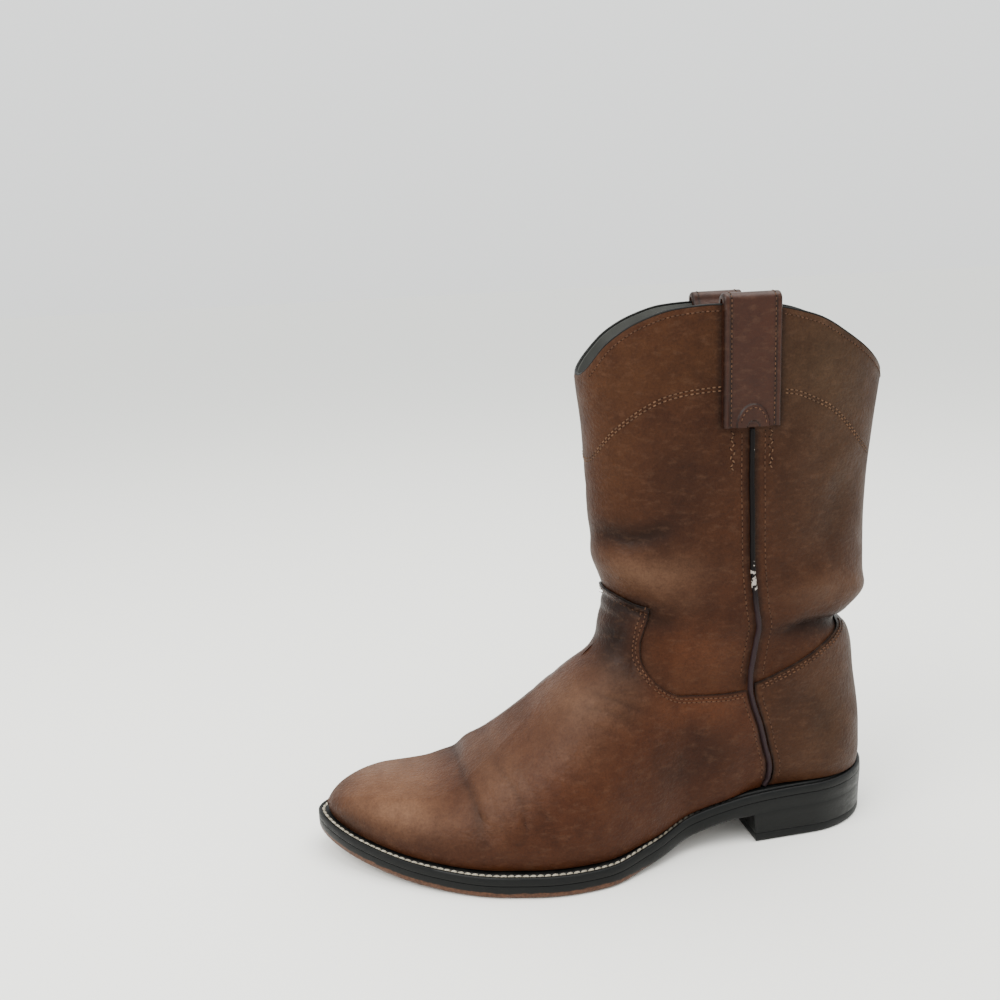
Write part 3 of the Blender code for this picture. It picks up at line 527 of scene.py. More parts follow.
# Sections of the sole's pieces: how far in from the edge, and how high over the piece's own underside
SECTION_COLUMNS = ("inset", "height")
OUTSOLE_SECTION = (
    (2.4, 0.0),
    (1.2, 0.4),
    (0.5, 1.1),
    (0.1, 2.4),
    (0.0, 4.2),
    (0.02, 6.5),
    (0.15, 6.9),
    (0.9, 7.0),
)
WELT_LIFT = 0.1
WELT_SECTION = (
    (11.3, 0.0),
    (0.4, 0.0),
    (0.08, 0.15),
    (0.0, 0.6),
    (0.2, 3.4),
    (0.8, 4.2),
    (1.6, 4.3),
    (2.1, 4.05),
    (2.5, 3.5),
    (3.3, 3.5),
    (3.7, 4.1),
    (4.3, 4.3),
    (11.3, 4.3),
)
HEEL_BEVEL = 0.2
HEEL_BEVEL_FROM = 16.0
HEEL_BEVEL_LENGTH = 14.0

# The heel: the angle of its sharp edges in degrees, and its sections, each with how far in it is, how far
# its breast is set back, and its height over the floor or the seat
HEEL_SHARP = 40.0
HEEL_COLUMNS = ("inset", "set_back", "base", "height")
HEEL_STACK = (
    (0.9, 1.2, "floor", 5.05),
    (0.7, 1.0, "floor", 5.2),
    (0.45, 0.4, "seat", -3.0),
    (0.2, 0.0, "seat", -0.3),
    (0.3, 0.2, "seat", -0.05),
)
HEEL_LIFT = (
    (2.0, 2.2, "floor", 0.0),
    (1.2, 1.4, "floor", 0.5),
    (0.8, 1.0, "floor", 1.4),
    (0.7, 1.0, "floor", 4.75),
    (0.85, 1.1, "floor", 4.95),
)

# Where the black edge dressing is worn off the outsole: from the floor up, and towards the toe
BARE_FROM = 36.0
BARE_LENGTH = 50.0
BARE_RISE = 3.2

# Stitches: pitch of each kind of row, and how far each row is from its edge or seam
PLAIN_STITCH = 2.7
THREAD_HALF = 0.3
EDGE_PITCH = 2.5
SEAM_PITCH = 2.9
YOKE_PITCH = 2.6
COLLAR_PITCH = 2.3
STRAP_PITCH = 2.3
EDGE_INSETS = (1.5, 3.2)
SEAM_SHIFTS = (-5.0, 6.6)
LOW_SEAM_SHIFTS = (5.4, -4.6)
YOKE_SHIFTS = (0.9, -0.9)
COLLAR_DROP = 2.6
ZIGZAG_PLACES = (-9.6, 9.6)
ZIGZAG_LOW = 200.0
ZIGZAG_STEP = 2.2
ZIGZAG_HALF = 0.9
STRAP_ROW_INSET = 2.0
WELT_PITCH = 3.6
WELT_THREAD_END = 62.0
WELT_THREAD_INSET = 2.9
WELT_THREAD_SUNK = 0.35
WELT_THREAD_HALF = 0.85
WELT_THREAD_DARK = (18, 16, 14)

# Leathers: name, roughness, specular level, and how much its grain is raised or smoothed
SHAFT_LEATHER = ("shaft_leather", 0.52, 0.1, 0.08)
VAMP_LEATHER = ("vamp_leather", 0.42, 0.1, 0.04)
COUNTER_LEATHER = ("counter_leather", 0.5, 0.1, 0.03)
STRAP_LEATHER = ("strap_leather", 0.36, 0.18, -0.25)

# Spots per metre of each layer of the leather's pattern
CLOUD_SCALE = 30.0
MOTTLE_SCALE = 130.0
WRINKLE_SCALE = 210.0
PEBBLE_SCALE = 560.0
GRAIN_SCALE = 850.0

# The camera that took the photograph, in millimetres, degrees and the photograph's pixels
CAMERA_PLACE = np.array([489.1, -120.7, 291.8])
CAMERA_AZIMUTH = 81.22
CAMERA_PITCH = 11.97
CAMERA_ROLL = -3.0
FOCAL_PIXELS = 1002.6
PHOTO_PIXELS = 1000.0
FILM_WIDTH = 36.0

# The pale floor and surrounding, and the lights in metres and watts
FLOOR_HALF = 60.0
FLOOR_COLOUR = (0.8, 0.8, 0.77)
WORLD_COLOUR = (0.96, 0.98, 0.97)
WORLD_HORIZON = 1.5
WORLD_RISE = 1.4
LIGHT_TARGET = (0.0, 0.0, 0.1)
LIGHT_COLUMNS = ("name", "place", "size", "power", "colour")
LIGHTS = (
    ("window", (0.5, -0.9, 1.1), 0.9, 22.0, (1.0, 0.98, 0.95)),
    ("ceiling", (0.1, 0.3, 1.5), 1.2, 26.0, (1.0, 0.98, 0.94)),
)


def srgb(colour):
    """A screen colour from 0 to 255 as linear light."""
    level = np.asarray(colour, float) / 255
    return np.where(level <= 0.04045, level / 12.92, ((level + 0.055) / 1.055) ** 2.4)


def column(table, names, name, at):
    """The named column at the given places of the first one, as a smooth curve that never overshoots."""
    rows = np.array(table, float)
    x = rows[:, 0]
    y = rows[:, names.index(name)]
    step = np.diff(x)
    slope = np.diff(y) / step
    before, after = slope[:-1], slope[1:]
    same = before * after > 0
    safe = np.where(same, before * after, 1.0)
    weight_a = 2 * step[1:] + step[:-1]
    weight_b = step[1:] + 2 * step[:-1]
    total = weight_a * after + weight_b * before
    inner = np.where(same, (weight_a + weight_b) * safe / np.where(same, total, 1.0), 0.0)
    tangent = np.concatenate([slope[:1], inner, slope[-1:]])
    at = np.clip(np.asarray(at, float), x[0], x[-1])
    i = np.clip(np.searchsorted(x, at, side="right") - 1, 0, len(x) - 2)
    width = step[i]
    s = (at - x[i]) / width
    return (
        y[i] * (1 + 2 * s) * (1 - s) ** 2
        + width * tangent[i] * s * (1 - s) ** 2
        + y[i + 1] * s**2 * (3 - 2 * s)
        + width * tangent[i + 1] * s**2 * (s - 1)
    )


def rows_of(table, names):
    """The rows of a table, each as a dictionary of its named columns."""
    return [dict(zip(names, row)) for row in table]


def of_side(table, names, side, at):
    """The outer or the inner column of a table, by the side."""
    outer, inner = (column(table, names, name, at) for name in ("outer", "inner"))
    return np.where(np.asarray(side) > 0, outer, inner)


def rounded(distance, reach, power):
    """How much of its full width an outline has at a distance from its rounded end."""
    left = 1 - np.clip(distance, 0.0, reach) / reach
    return (1 - left**power) ** (1 / power)


def outline(y, inset):
    """Centre and half width of the sole's outline, drawn in by an inset all round."""
    y = np.asarray(y, float)
    half = column(OUTLINE, OUTLINE_COLUMNS, "half", y) - inset
    toe = rounded(y - (TOE_TIP + inset), TOE_REACH - inset, TOE_POWER)
    heel = rounded((HEEL_BACK - inset) - y, HEEL_REACH - inset, HEEL_POWER)
    return column(OUTLINE, OUTLINE_COLUMNS, "centre", y), half * toe * heel


def under(y):
    """Height of the outsole's underside."""
    return column(PROFILE, PROFILE_COLUMNS, "under", y)


def welt_inset(y):
    """How far in from the sole's edge the upper meets the welt."""
    return column(PROFILE, PROFILE_COLUMNS, "inset", y)


def feather(y):
    """Height of the upper's bottom edge, just clear of the welt."""
    return under(y) + OUTSOLE_THICK + PLATE_GAP + WELT_THICK + FEATHER_GAP


def smooth_step(x):
    """Runs softly from 0 to 1 as x does, and holds at both ends."""
    x = np.clip(x, 0.0, 1.0)
    return x * x * (3 - 2 * x)


def middle(y, z):
    """X of the ridge line: the vamp's ridge low down, the shaft's middle higher up."""
    return column(RIDGE, RIDGE_COLUMNS, "x", y) * (1 - smooth_step((z - 60.0) / 60.0))


def foot_level(x, y, z, side):
    """Distance outside the foot's form: a rounded arch over the sole's outline, as high as the ridge."""
    low = feather(y)
    inset = welt_inset(y) - BULGE * (1 - np.exp(-np.maximum(z - low, 0.0) / BULGE_RISE))
    centre, half = outline(y, inset)
    half = half * (1 - FOOT_FADE * smooth_step((y - FOOT_FADE_START) / (FOOT_FADE_END - FOOT_FADE_START)))
    half = half * (1 - HEEL_FADE * smooth_step((y - HEEL_FADE_START) / HEEL_FADE_LENGTH))
    ridge_x = column(RIDGE, RIDGE_COLUMNS, "x", y)
    reach = np.maximum(half + side * (centre - ridge_x), 1e-3)
    rise = np.maximum(z - low, 0.0)
    top = np.maximum(column(RIDGE, RIDGE_COLUMNS, "z", y) - low, 1.0)
    level = (x / reach) ** FOOT_SQUARENESS + (rise / top) ** FOOT_SQUARENESS
    level = np.maximum(level, 1e-9) ** (1 / FOOT_SQUARENESS)
    return np.hypot(x, rise) * (1 - 1 / level)


def shaft_level(x, y, z, side):
    """Distance outside the heel and shaft: an oval at each height, from the table of levels."""
    front, back, widest = (column(LEVELS, LEVEL_COLUMNS, name, z) for name in ("front", "back", "widest"))
    half = of_side(LEVELS, LEVEL_COLUMNS, side, z)
    along = np.abs(y - widest)
    reach = np.where(y > widest, back - widest, widest - front)
    level = (x / half) ** SHAFT_SQUARENESS + (along / reach) ** SHAFT_SQUARENESS
    level = np.maximum(level, 1e-9) ** (1 / SHAFT_SQUARENESS)
    return np.hypot(x, along) * (1 - 1 / level)


def form(x, y, z, side):
    """Distance outside the upper, with the foot and the shaft run softly into each other."""
    foot = foot_level(x, y, z, side)
    shaft = shaft_level(x, y, z, side)
    near = np.maximum(BLEND - np.abs(foot - shaft), 0.0) / BLEND
    return np.minimum(foot, shaft) - near * near * BLEND / 4


def half_width(y, z, side):
    """How far the upper's surface is from its middle, found by halving."""
    y, z, side = np.broadcast_arrays(np.asarray(y, float), np.asarray(z, float), np.asarray(side, float))
    low = np.zeros(y.shape)
    high = np.full(y.shape, WIDEST_HALF)
    for _ in range(HALVINGS):
        mid = (low + high) / 2
        inside = form(mid, y, z, side) < 0
        low = np.where(inside, mid, low)
        high = np.where(inside, high, mid)
    return low


def front_profile():
    """The front from the toe's feather to the collar's dip: points (y, z), and their share of its length.

    Above the toe each point is moved along its ray from a centre in the heel until it meets the form.
    """
    tip = TOE_TIP + welt_inset(TOE_TIP)
    start = RIDGE[0][0]
    ridge_y = start + (RIDGE_END - start) * np.linspace(0, 1, RIDGE_POINTS) ** RIDGE_EASE
    ridge = np.stack([ridge_y, column(RIDGE, RIDGE_COLUMNS, "z", ridge_y)], -1)
    shaft_z = np.linspace(FRONT_LOW, COLLAR_FRONT, FRONT_STEPS)
    shaft = np.stack([column(LEVELS, LEVEL_COLUMNS, "front", shaft_z), shaft_z], -1)
    raw = np.vstack([[(tip, float(feather(tip)))], ridge, shaft])
    ray = raw - RAY_CENTRE
    reach = np.linalg.norm(ray, axis=1)[:, None]
    ray /= reach
    low, high = reach - RAY_INWARD, reach + RAY_OUTWARD
    for _ in range(HALVINGS):
        mid = (low + high) / 2
        at = RAY_CENTRE + ray * mid
        inside = (form(0.0, at[:, 0], at[:, 1], 1) < 0)[:, None]
        low, high = np.where(inside, mid, low), np.where(inside, high, mid)
    moved = np.where(raw[:, 1:] > MOVED_ABOVE, RAY_CENTRE + ray * low, raw)
    length = np.concatenate([[0.0], np.cumsum(np.linalg.norm(np.diff(moved, axis=0), axis=1))])
    return moved, length / length[-1]


FRONT_POINTS, FRONT_SHARE = front_profile()
BACK_LOW = float(feather(BACK_FEATHER))


def row_ends(share):
    """Front and back end (y, z) of the row at a share of the way up."""
    front_y = np.interp(share, FRONT_SHARE, FRONT_POINTS[:, 0])
    front_z = np.interp(share, FRONT_SHARE, FRONT_POINTS[:, 1])
    top = ROWS[-1][1]
    back_z = BACK_LOW + column(ROWS, ROW_COLUMNS, "back_z", share) * (COLLAR_BACK - BACK_LOW) / top
    return front_y, front_z, column(LEVELS, LEVEL_COLUMNS, "back", back_z), back_z


def row_height(share, along, y, side):
    """Height of a row: its chord, sagging with the sole low down and rising with the collar near the top."""
    _, front_z, _, back_z = row_ends(share)
    low_y, low_z, heel_y, heel_z = row_ends(0.0)
    chord = front_z + (back_z - front_z) * along
    sole_chord = low_z + (heel_z - low_z) * (y - low_y) / (heel_y - low_y)
    sag = (feather(y) - sole_chord) * np.clip(1 - share / SAG_SHARE, 0.0, 1.0) ** 2
    climb = np.clip((share - RISE_FROM) / (1 - RISE_FROM), 0.0, 1.0) ** 1.5
    return chord + sag + of_side(COLLAR, COLLAR_COLUMNS, side, along) * climb


def seam_angle(share, side):
    """Where the side seam crosses a row, as an angle from the front."""
    front_y, _, back_y, _ = row_ends(share)
    y = np.full(np.shape(share), 72.0)
    for _ in range(12):
        z = row_height(share, (y - front_y) / (back_y - front_y), y, side)
        y = of_side(SEAM, SEAM_COLUMNS, side, z)
    return np.arccos(np.clip(1 - 2 * (y - front_y) / (back_y - front_y), -1.0, 1.0))


def side_place(around, share, side):
    """(y, z) of a place on a row: around runs 0 at the front, 1 at the side seam and 2 at the back."""
    around, share = np.broadcast_arrays(np.asarray(around, float), np.asarray(share, float))
    seam = seam_angle(share, side)
    angle = np.where(around <= 1, around * seam, seam + (around - 1) * (math.pi - seam))
    front_y, _, back_y, _ = row_ends(share)
    along = (1 - np.cos(angle)) / 2
    y = front_y + (back_y - front_y) * along
    return y, row_height(share, along, y, side)


def solve_around(share, test, side, high_start=1.0):
    """The first place round the boot, from the front, at which a test of (y, z) turns true on each row."""
    low, high = np.zeros(np.shape(share)), np.full(np.shape(share), high_start)
    for _ in range(HALVINGS):
        mid = (low + high) / 2
        done = test(*side_place(mid, share, side))
        low, high = np.where(done, low, mid), np.where(done, mid, high)
    return high


def near_middle(width):
    """How much of the other side's marks show: half at the middle line, none further out."""
    return 0.5 * (1 - smooth_step(width / MIDDLE_REACH))


def share_of(where, side, near):
    """How strongly a mark of one side shows at places of either side."""
    return np.where(side == where, 1 - near, near)


def crease_depth(y, z, side, near):
    """How far the leather sinks at each place: the sum of all strokes, each a soft trough along its line.

    A trough falls off as the bell curve of the distance from its line, and fades out at the line's ends.
    """
    y, z, side = np.broadcast_arrays(np.asarray(y, float), np.asarray(z, float), np.asarray(side, float))
    sunk = np.zeros(y.shape)
    for stroke in rows_of(CREASES, CREASE_COLUMNS):
        line = np.array(stroke["points"], float)
        nearest = np.full(y.shape, 1e9)
        place = np.zeros(y.shape)
        step = np.diff(line, axis=0)
        length = np.linalg.norm(step, axis=1)
        start = np.concatenate([[0.0], np.cumsum(length)])
        for i in range(len(step)):
            dy, dz = y - line[i, 0], z - line[i, 1]
            t = np.clip((dy * step[i, 0] + dz * step[i, 1]) / length[i] ** 2, 0.0, 1.0)
            away = (dy - t * step[i, 0]) ** 2 + (dz - t * step[i, 1]) ** 2
            closer = away < nearest
            nearest = np.where(closer, away, nearest)
            place = np.where(closer, (start[i] + t * length[i]) / start[-1], place)
        fade = np.clip(np.minimum(place + 0.15, 1.15 - place) / 0.4, 0.0, 1.0)
        shape = stroke["depth"] * np.exp(-nearest / stroke["width"] ** 2) * smooth_step(fade)
        sunk += shape * share_of(stroke["side"], side, near)
    clear = smooth_step((z - feather(y)) / 10.0) * smooth_step((COLLAR_BACK - 4.0 - z) / 14.0)
    return sunk * clear


def ripple(y, z):
    """Slow unevenness of worn leather: three crossed waves, under half a millimetre."""
    wave = np.sin(y * 0.11 + z * 0.05 + 1.0) + np.sin(y * -0.06 + z * 0.13 + 2.0)
    wave += np.sin(y * 0.19 - z * 0.16 + 4.0)
    return 0.13 * wave * smooth_step((z - feather(y)) / 12.0)


def seam_groove(y, z, side):
    """How far the shaft's leather sinks on each side of its piping, above the vamp and the counter."""
    away = np.abs(np.abs(y - of_side(SEAM, SEAM_COLUMNS, side, z)) - GROOVE_PLACE)
    ends = smooth_step((z - 84.0) / 6.0) * smooth_step((STRAP_BOTTOM - z) / 4.0)
    return GROOVE_DEPTH * np.exp(-((away / GROOVE_WIDTH) ** 2)) * ends


def worn(y, z, side, near):
    """Height of the worn surface over the plain form."""
    return ripple(y, z) - crease_depth(y, z, side, near) - seam_groove(y, z, side)


def skin(y, z, side, ends=None):
    """Points and outward normals of the worn surface at places in the side view."""
    y, z, side = np.broadcast_arrays(np.asarray(y, float), np.asarray(z, float), np.asarray(side, float))
    width = half_width(y, z, side)
    if ends is not None:
        width = np.where(ends, 0.0, width)
    x = middle(y, z) + side * width
    small = 0.05
    at_back = np.zeros(y.shape, bool) if ends is None else ends & (y > RAY_CENTRE[0])

    def outside(at_x, at_y, at_z):
        away = np.abs((at_x - middle(at_y, at_z)) * side)
        return np.where(at_back, shaft_level(away, at_y, at_z, side), form(away, at_y, at_z, side))

    slope = np.stack(
        [
            outside(x + small, y, z) - outside(x - small, y, z),
            outside(x, y + small, z) - outside(x, y - small, z),
            outside(x, y, z + small) - outside(x, y, z - small),
        ],
        -1,
    )
    normal = slope / np.maximum(np.linalg.norm(slope, axis=-1, keepdims=True), 1e-12)
    step = 0.4
    near = near_middle(width)
    height = worn(y, z, side, near)
    rise_y = (worn(y + step, z, side, near) - worn(y - step, z, side, near)) / (2 * step)
    rise_z = (worn(y, z + step, side, near) - worn(y, z - step, side, near)) / (2 * step)
    lift = np.stack([np.zeros_like(rise_y), rise_y, rise_z], -1)
    lift -= np.sum(lift * normal, axis=-1, keepdims=True) * normal
    turned = normal - lift
    turned /= np.linalg.norm(turned, axis=-1, keepdims=True)
    return np.stack([x, y, z], -1) + normal * height[..., None], turned


def strap_shade(y, z, side):
    """How much painted shadow darkens the shaft in the gap beside its pull strap."""
    away = np.abs(y - np.where(side > 0, STRAP_MIDDLE_OUTER, STRAP_MIDDLE_INNER)) - STRAP_WIDTH / 2
    return 0.8 * np.exp(-((away / 2.2) ** 2)) * smooth_step((z - STRAP_BOTTOM + 2.0) / 3.0)


def tint_of(y, z, side, base):
    """Colour of the leather: base, soft patches, and painted shade where it sinks and at the seams."""
    y, z, side = np.broadcast_arrays(np.asarray(y, float), np.asarray(z, float), np.asarray(side, float))
    near = near_middle(half_width(y, z, side))
    colour = np.broadcast_to(np.asarray(base, float), y.shape + (3,)).copy()
    for patch in rows_of(PATCHES, PATCH_COLUMNS):
        along = ((y - patch["y"]) / patch["spread_y"]) ** 2
        bell = np.exp(-along - ((z - patch["z"]) / patch["spread_z"]) ** 2)
        amount = (patch["strength"] * bell * share_of(patch["side"], side, near))[..., None]
        colour = colour * (1 - amount) + srgb(patch["colour"]) * amount
    # Painted shade: darker in the creases, in the grooves by the piping and beside each pull strap; ridges
    # paler
    sunk = crease_depth(y, z, side, near) + GROOVE_SHADE * seam_groove(y, z, side)
    dark = np.clip(sunk / SUNK_FULL + strap_shade(y, z, side), 0.0, DARKEST)[..., None]
    pale = np.clip(-sunk / RAISED_FULL, 0.0, PALEST)[..., None]
    colour = colour * (1 - dark) + srgb(DARK_BROWN) * dark
    return colour * (1 - pale) + srgb(BLOOM_AND_HIGHLIGHT) * pale


def quads(rows, cols, closed, start=0):
    """Faces of a grid of points, row by row."""
    last = cols if closed else cols - 1
    r, c = np.meshgrid(np.arange(rows - 1), np.arange(last), indexing="ij")
    after = (c + 1) % cols
    corners = [r * cols + c, r * cols + after, (r + 1) * cols + after, (r + 1) * cols + c]
    return (start + np.stack(corners, -1)).reshape(-1, 4)


def add_mesh(name, vertices, faces, look, tint=None, sharp=40.0, alpha=1.0):
    """One mesh from points in millimetres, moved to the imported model's origin, facing outwards."""
    vertices = (np.asarray(vertices, float) - PLACED) * MM
    faces = faces.tolist() if isinstance(faces, np.ndarray) else [list(map(int, face)) for face in faces]
    mesh = bpy.data.meshes.new(name)
    mesh.from_pydata(vertices.tolist(), [], faces)
    mesh.materials.append(look)
    mesh.calc_loop_triangles()
    corners = np.empty(len(mesh.loop_triangles) * 3, np.int32)
    mesh.loop_triangles.foreach_get("vertices", corners)
    if np.linalg.det(vertices[corners.reshape(-1, 3)]).sum() < 0:
        mesh.flip_normals()
    if tint is not None:
        layer = mesh.attributes.new("tint", "FLOAT_COLOR", "POINT")
        last = np.broadcast_to(np.asarray(alpha, float).reshape(-1, 1), (len(vertices), 1))
        flat = np.concatenate([np.asarray(tint, float).reshape(-1, 3), last], axis=1)
        layer.data.foreach_set("color", flat.astype(np.float32).ravel())
    mesh.shade_smooth()
    mesh.set_sharp_from_angle(angle=math.radians(sharp))
    made = bpy.data.objects.new(name, mesh)
    bpy.context.scene.collection.objects.link(made)
    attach(made, "root")
    return made


def nodes_for(name, roughness, specular):
    """A new material with its shader's plain values set, and what is needed to add to it."""
    look = bpy.data.materials.new(name)
    look.use_nodes = True
    tree = look.node_tree
    shader = tree.nodes["Principled BSDF"]
    shader.inputs["Roughness"].default_value = roughness
    shader.inputs["Specular IOR Level"].default_value = specular
    return look, tree, shader


def node(tree, kind, **values):
    """A node with its settings and the values of its named sockets."""
    made = tree.nodes.new(kind)
    for key, value in values.items():
        if key in made.inputs.keys():
            made.inputs[key].default_value = value
        else:
            setattr(made, key, value)
    return made


def noise(tree, scale, detail=3.0, rough=0.55, stretch=None):
    """Noise on the piece's own coordinates, with an optional stretch along an axis."""
    place = node(tree, "ShaderNodeTexCoord")
    made = node(tree, "ShaderNodeTexNoise", Scale=scale, Detail=detail, Roughness=rough)
    if stretch:
        turn = node(tree, "ShaderNodeMapping")
        turn.inputs["Scale"].default_value = stretch
        tree.links.new(place.outputs["Object"], turn.inputs["Vector"])
        tree.links.new(turn.outputs["Vector"], made.inputs["Vector"])
    else:
        tree.links.new(place.outputs["Object"], made.inputs["Vector"])
    return made.outputs["Fac"]


def spread(tree, value, low, high, to_low, to_high):
    """A value carried from one range to another, held at its ends."""
    made = node(tree, "ShaderNodeMapRange")
    for socket, number in zip(("From Min", "From Max", "To Min", "To Max"), (low, high, to_low, to_high)):
        made.inputs[socket].default_value = number
    tree.links.new(value, made.inputs["Value"])
    return made.outputs["Result"]


def mixed(tree, amount, first, second, blend="MIX"):
    """Two colours mixed by an amount, each a socket or a plain colour."""
    made = node(tree, "ShaderNodeMix", data_type="RGBA", blend_type=blend)
    for socket, value in ((made.inputs[0], amount), (made.inputs[6], first), (made.inputs[7], second)):
        if isinstance(value, bpy.types.NodeSocket):
            tree.links.new(value, socket)
        elif isinstance(value, (int, float)):
            socket.default_value = value
        else:
            socket.default_value = (*value, 1.0)
    return made.outputs[2]


def summed(tree, first, second, weight):
    """first + second * weight, as one value."""
    made = node(tree, "ShaderNodeMath", operation="MULTIPLY_ADD")
    tree.links.new(second, made.inputs[0])
    made.inputs[1].default_value = weight
    tree.links.new(first, made.inputs[2])
    return made.outputs[0]


def bumped(tree, shader, height, strength, distance):
    """A bump that the shader reads."""
    made = node(tree, "ShaderNodeBump", Strength=strength, Distance=distance)
    tree.links.new(height, made.inputs["Height"])
    tree.links.new(made.outputs["Normal"], shader.inputs["Normal"])


def oiled_leather(name, roughness, specular, nap):
    """Oiled leather: tinted by the piece, clouded, mottled, pebbled, finely wrinkled, rubbed in flecks."""
    look, tree, shader = nodes_for(name, roughness, specular)
    tint = node(tree, "ShaderNodeAttribute", attribute_name="tint").outputs["Color"]
    cloud = noise(tree, CLOUD_SCALE, 5.0, 0.6)
    mottle = noise(tree, MOTTLE_SCALE, 5.0, 0.68)
    grain = noise(tree, GRAIN_SCALE, 3.0, 0.7)
    wrinkle = noise(tree, WRINKLE_SCALE, 5.0, 0.62, (1.0, 0.8, 1.7))
    colour = mixed(tree, spread(tree, cloud, 0.4, 0.7, 0.0, 0.5), tint, (0.5, 0.42, 0.38), "MULTIPLY")
    blotched = spread(tree, mottle, 0.42, 0.72, 0.0, 0.55)
    colour = mixed(tree, blotched, colour, (0.55, 0.46, 0.42), "MULTIPLY")
    colour = mixed(tree, spread(tree, wrinkle, 0.52, 0.8, 0.0, 0.3), colour, srgb(BLOOM_AND_HIGHLIGHT))
    pitted = spread(tree, grain, 0.42, 0.7, 0.0, 0.4 + nap)
    colour = mixed(tree, pitted, colour, (0.45, 0.38, 0.34), "MULTIPLY")
    tree.links.new(colour, shader.inputs["Base Color"])
    rough = spread(tree, cloud, 0.35, 0.65, roughness - 0.08, roughness + 0.1)
    tree.links.new(rough, shader.inputs["Roughness"])
    pebble = node(tree, "ShaderNodeTexVoronoi", feature="SMOOTH_F1", Scale=PEBBLE_SCALE)
    place = node(tree, "ShaderNodeTexCoord")
    tree.links.new(place.outputs["Object"], pebble.inputs["Vector"])
    height = summed(tree, grain, pebble.outputs["Distance"], 0.8)
    height = summed(tree, height, wrinkle, 1.5)
    bumped(tree, shader, height, 0.48 + nap, 0.0005)
    return look


def dark_bead():
    """The piping's dark leather, rubbed through to pale fibres in places."""
    look, tree, shader = nodes_for("piping_leather", 0.35, 0.08)
    layer = node(tree, "ShaderNodeAttribute", attribute_name="tint")
    wear = noise(tree, 480.0, 2.0, 0.5)
    bare = summed(tree, wear, layer.outputs["Alpha"], 0.3)
    shown = spread(tree, bare, 0.76, 0.82, 0.0, 0.9)
    colour = mixed(tree, shown, layer.outputs["Color"], srgb((150, 142, 134)))
    tree.links.new(colour, shader.inputs["Base Color"])
    bumped(tree, shader, wear, 0.4, 0.0004)
    return look


def waxed_thread(name, colour, roughness=0.7):
    """Twisted thread with darker dirt in its hollows."""
    look, tree, shader = nodes_for(name, roughness, 0.2)
    dirt = noise(tree, 260.0, 4.0, 0.7)
    twist = noise(tree, 2200.0, 2.0, 0.5)
    dull = tuple(level * 0.3 for level in colour)
    made = mixed(tree, spread(tree, dirt, 0.38, 0.66, 0.0, 0.85), tuple(colour), dull)
    tree.links.new(made, shader.inputs["Base Color"])
    bumped(tree, shader, twist, 0.5, 0.0002)
    return look


def edge_black(name, roughness, scuffed, bare=None):
    """Black edge dressing with grey scuffs, worn through to bare leather where the piece's tint says so."""
    look, tree, shader = nodes_for(name, roughness, 0.16)
    scuff = noise(tree, 120.0, 5.0, 0.7, (1.0, 1.0, 3.0))
    fine = noise(tree, 700.0, 3.0, 0.6)
    colour = mixed(tree, spread(tree, scuff, 0.5, 0.8, 0.0, scuffed), srgb((5, 6, 6)), srgb((28, 28, 26)))
    if bare:
        layer = node(tree, "ShaderNodeAttribute", attribute_name="tint").outputs["Fac"]
        ragged = summed(tree, layer, scuff, 0.9)
        shown = mixed(tree, spread(tree, fine, 0.4, 0.6, 0.0, 0.6), srgb(bare), srgb((36, 20, 11)))
        colour = mixed(tree, spread(tree, ragged, 0.8, 0.95, 0.0, 1.0), colour, shown)
    tree.links.new(colour, shader.inputs["Base Color"])
    rough = spread(tree, scuff, 0.3, 0.7, roughness - 0.08, roughness + 0.2)
    tree.links.new(rough, shader.inputs["Roughness"])
    bumped(tree, shader, summed(tree, fine, scuff, 1.0), 0.3, 0.0003)
    return look


def suede(name, colour):
    """Napped lining leather, dusty and matt."""
    look, tree, shader = nodes_for(name, 0.85, 0.25)
    cloud = noise(tree, 45.0, 4.0, 0.6)
    fibre = noise(tree, 1400.0, 3.0, 0.7)
    dusty = srgb(tuple(level * 0.7 for level in colour))
    made = mixed(tree, spread(tree, cloud, 0.35, 0.7, 0.0, 0.6), srgb(colour), dusty)
    tree.links.new(made, shader.inputs["Base Color"])
    bumped(tree, shader, fibre, 0.4, 0.0003)
    return look


def rim_faces(border, offset):
    """Faces between the closed border of the outer layer and the same border of the layer under it."""
    after = np.roll(border, -1)
    return np.stack([border + offset, after + offset, after, border], -1)


def wall_faces(rows, cols):
    """Faces of a wall closed round the boot: its two layers, and the rims that join them."""
    count = rows * cols
    faces = [
        quads(rows, cols, True),
        quads(rows, cols, True, count)[:, ::-1],
        rim_faces(np.arange(cols), count),
        rim_faces(np.arange(count - cols, count), count)[:, ::-1],
    ]
    return np.vstack(faces)


def grid_border(rows, cols):
    """The points round the edge of an open grid, in order."""
    last_row = (rows - 1) * cols
    return np.concatenate(
        [
            np.arange(cols),
            np.arange(1, rows) * cols + cols - 1,
            np.arange(last_row + cols - 2, last_row, -1),
            np.arange(rows - 1, 0, -1) * cols,
        ]
    )


def around_columns(per_side):
    """Places round the whole boot: front to back on the outer side, then back to front on the inner."""
    around = np.linspace(0.0, 2.0, per_side + 1)
    sides = np.concatenate([np.ones(per_side + 1), -np.ones(per_side - 1)])
    return np.concatenate([around, around[-2:0:-1]]), sides


def shaft_grid(per_side, rows):
    """The worn surface of the whole upper as a grid, closed round the boot."""
    around, sides = around_columns(per_side)
    share = np.linspace(0.0, 1.0, rows)
    around, share = np.meshgrid(around, share)
    sides = np.broadcast_to(sides, around.shape)
    y, z = side_place(around, share, sides)
    ends = (around < 1e-9) | (around > 2 - 1e-9)
    points, normal = skin(y, z, sides, ends)
    points[0, :, 2] = z[0]
    return points, normal, y, z, sides


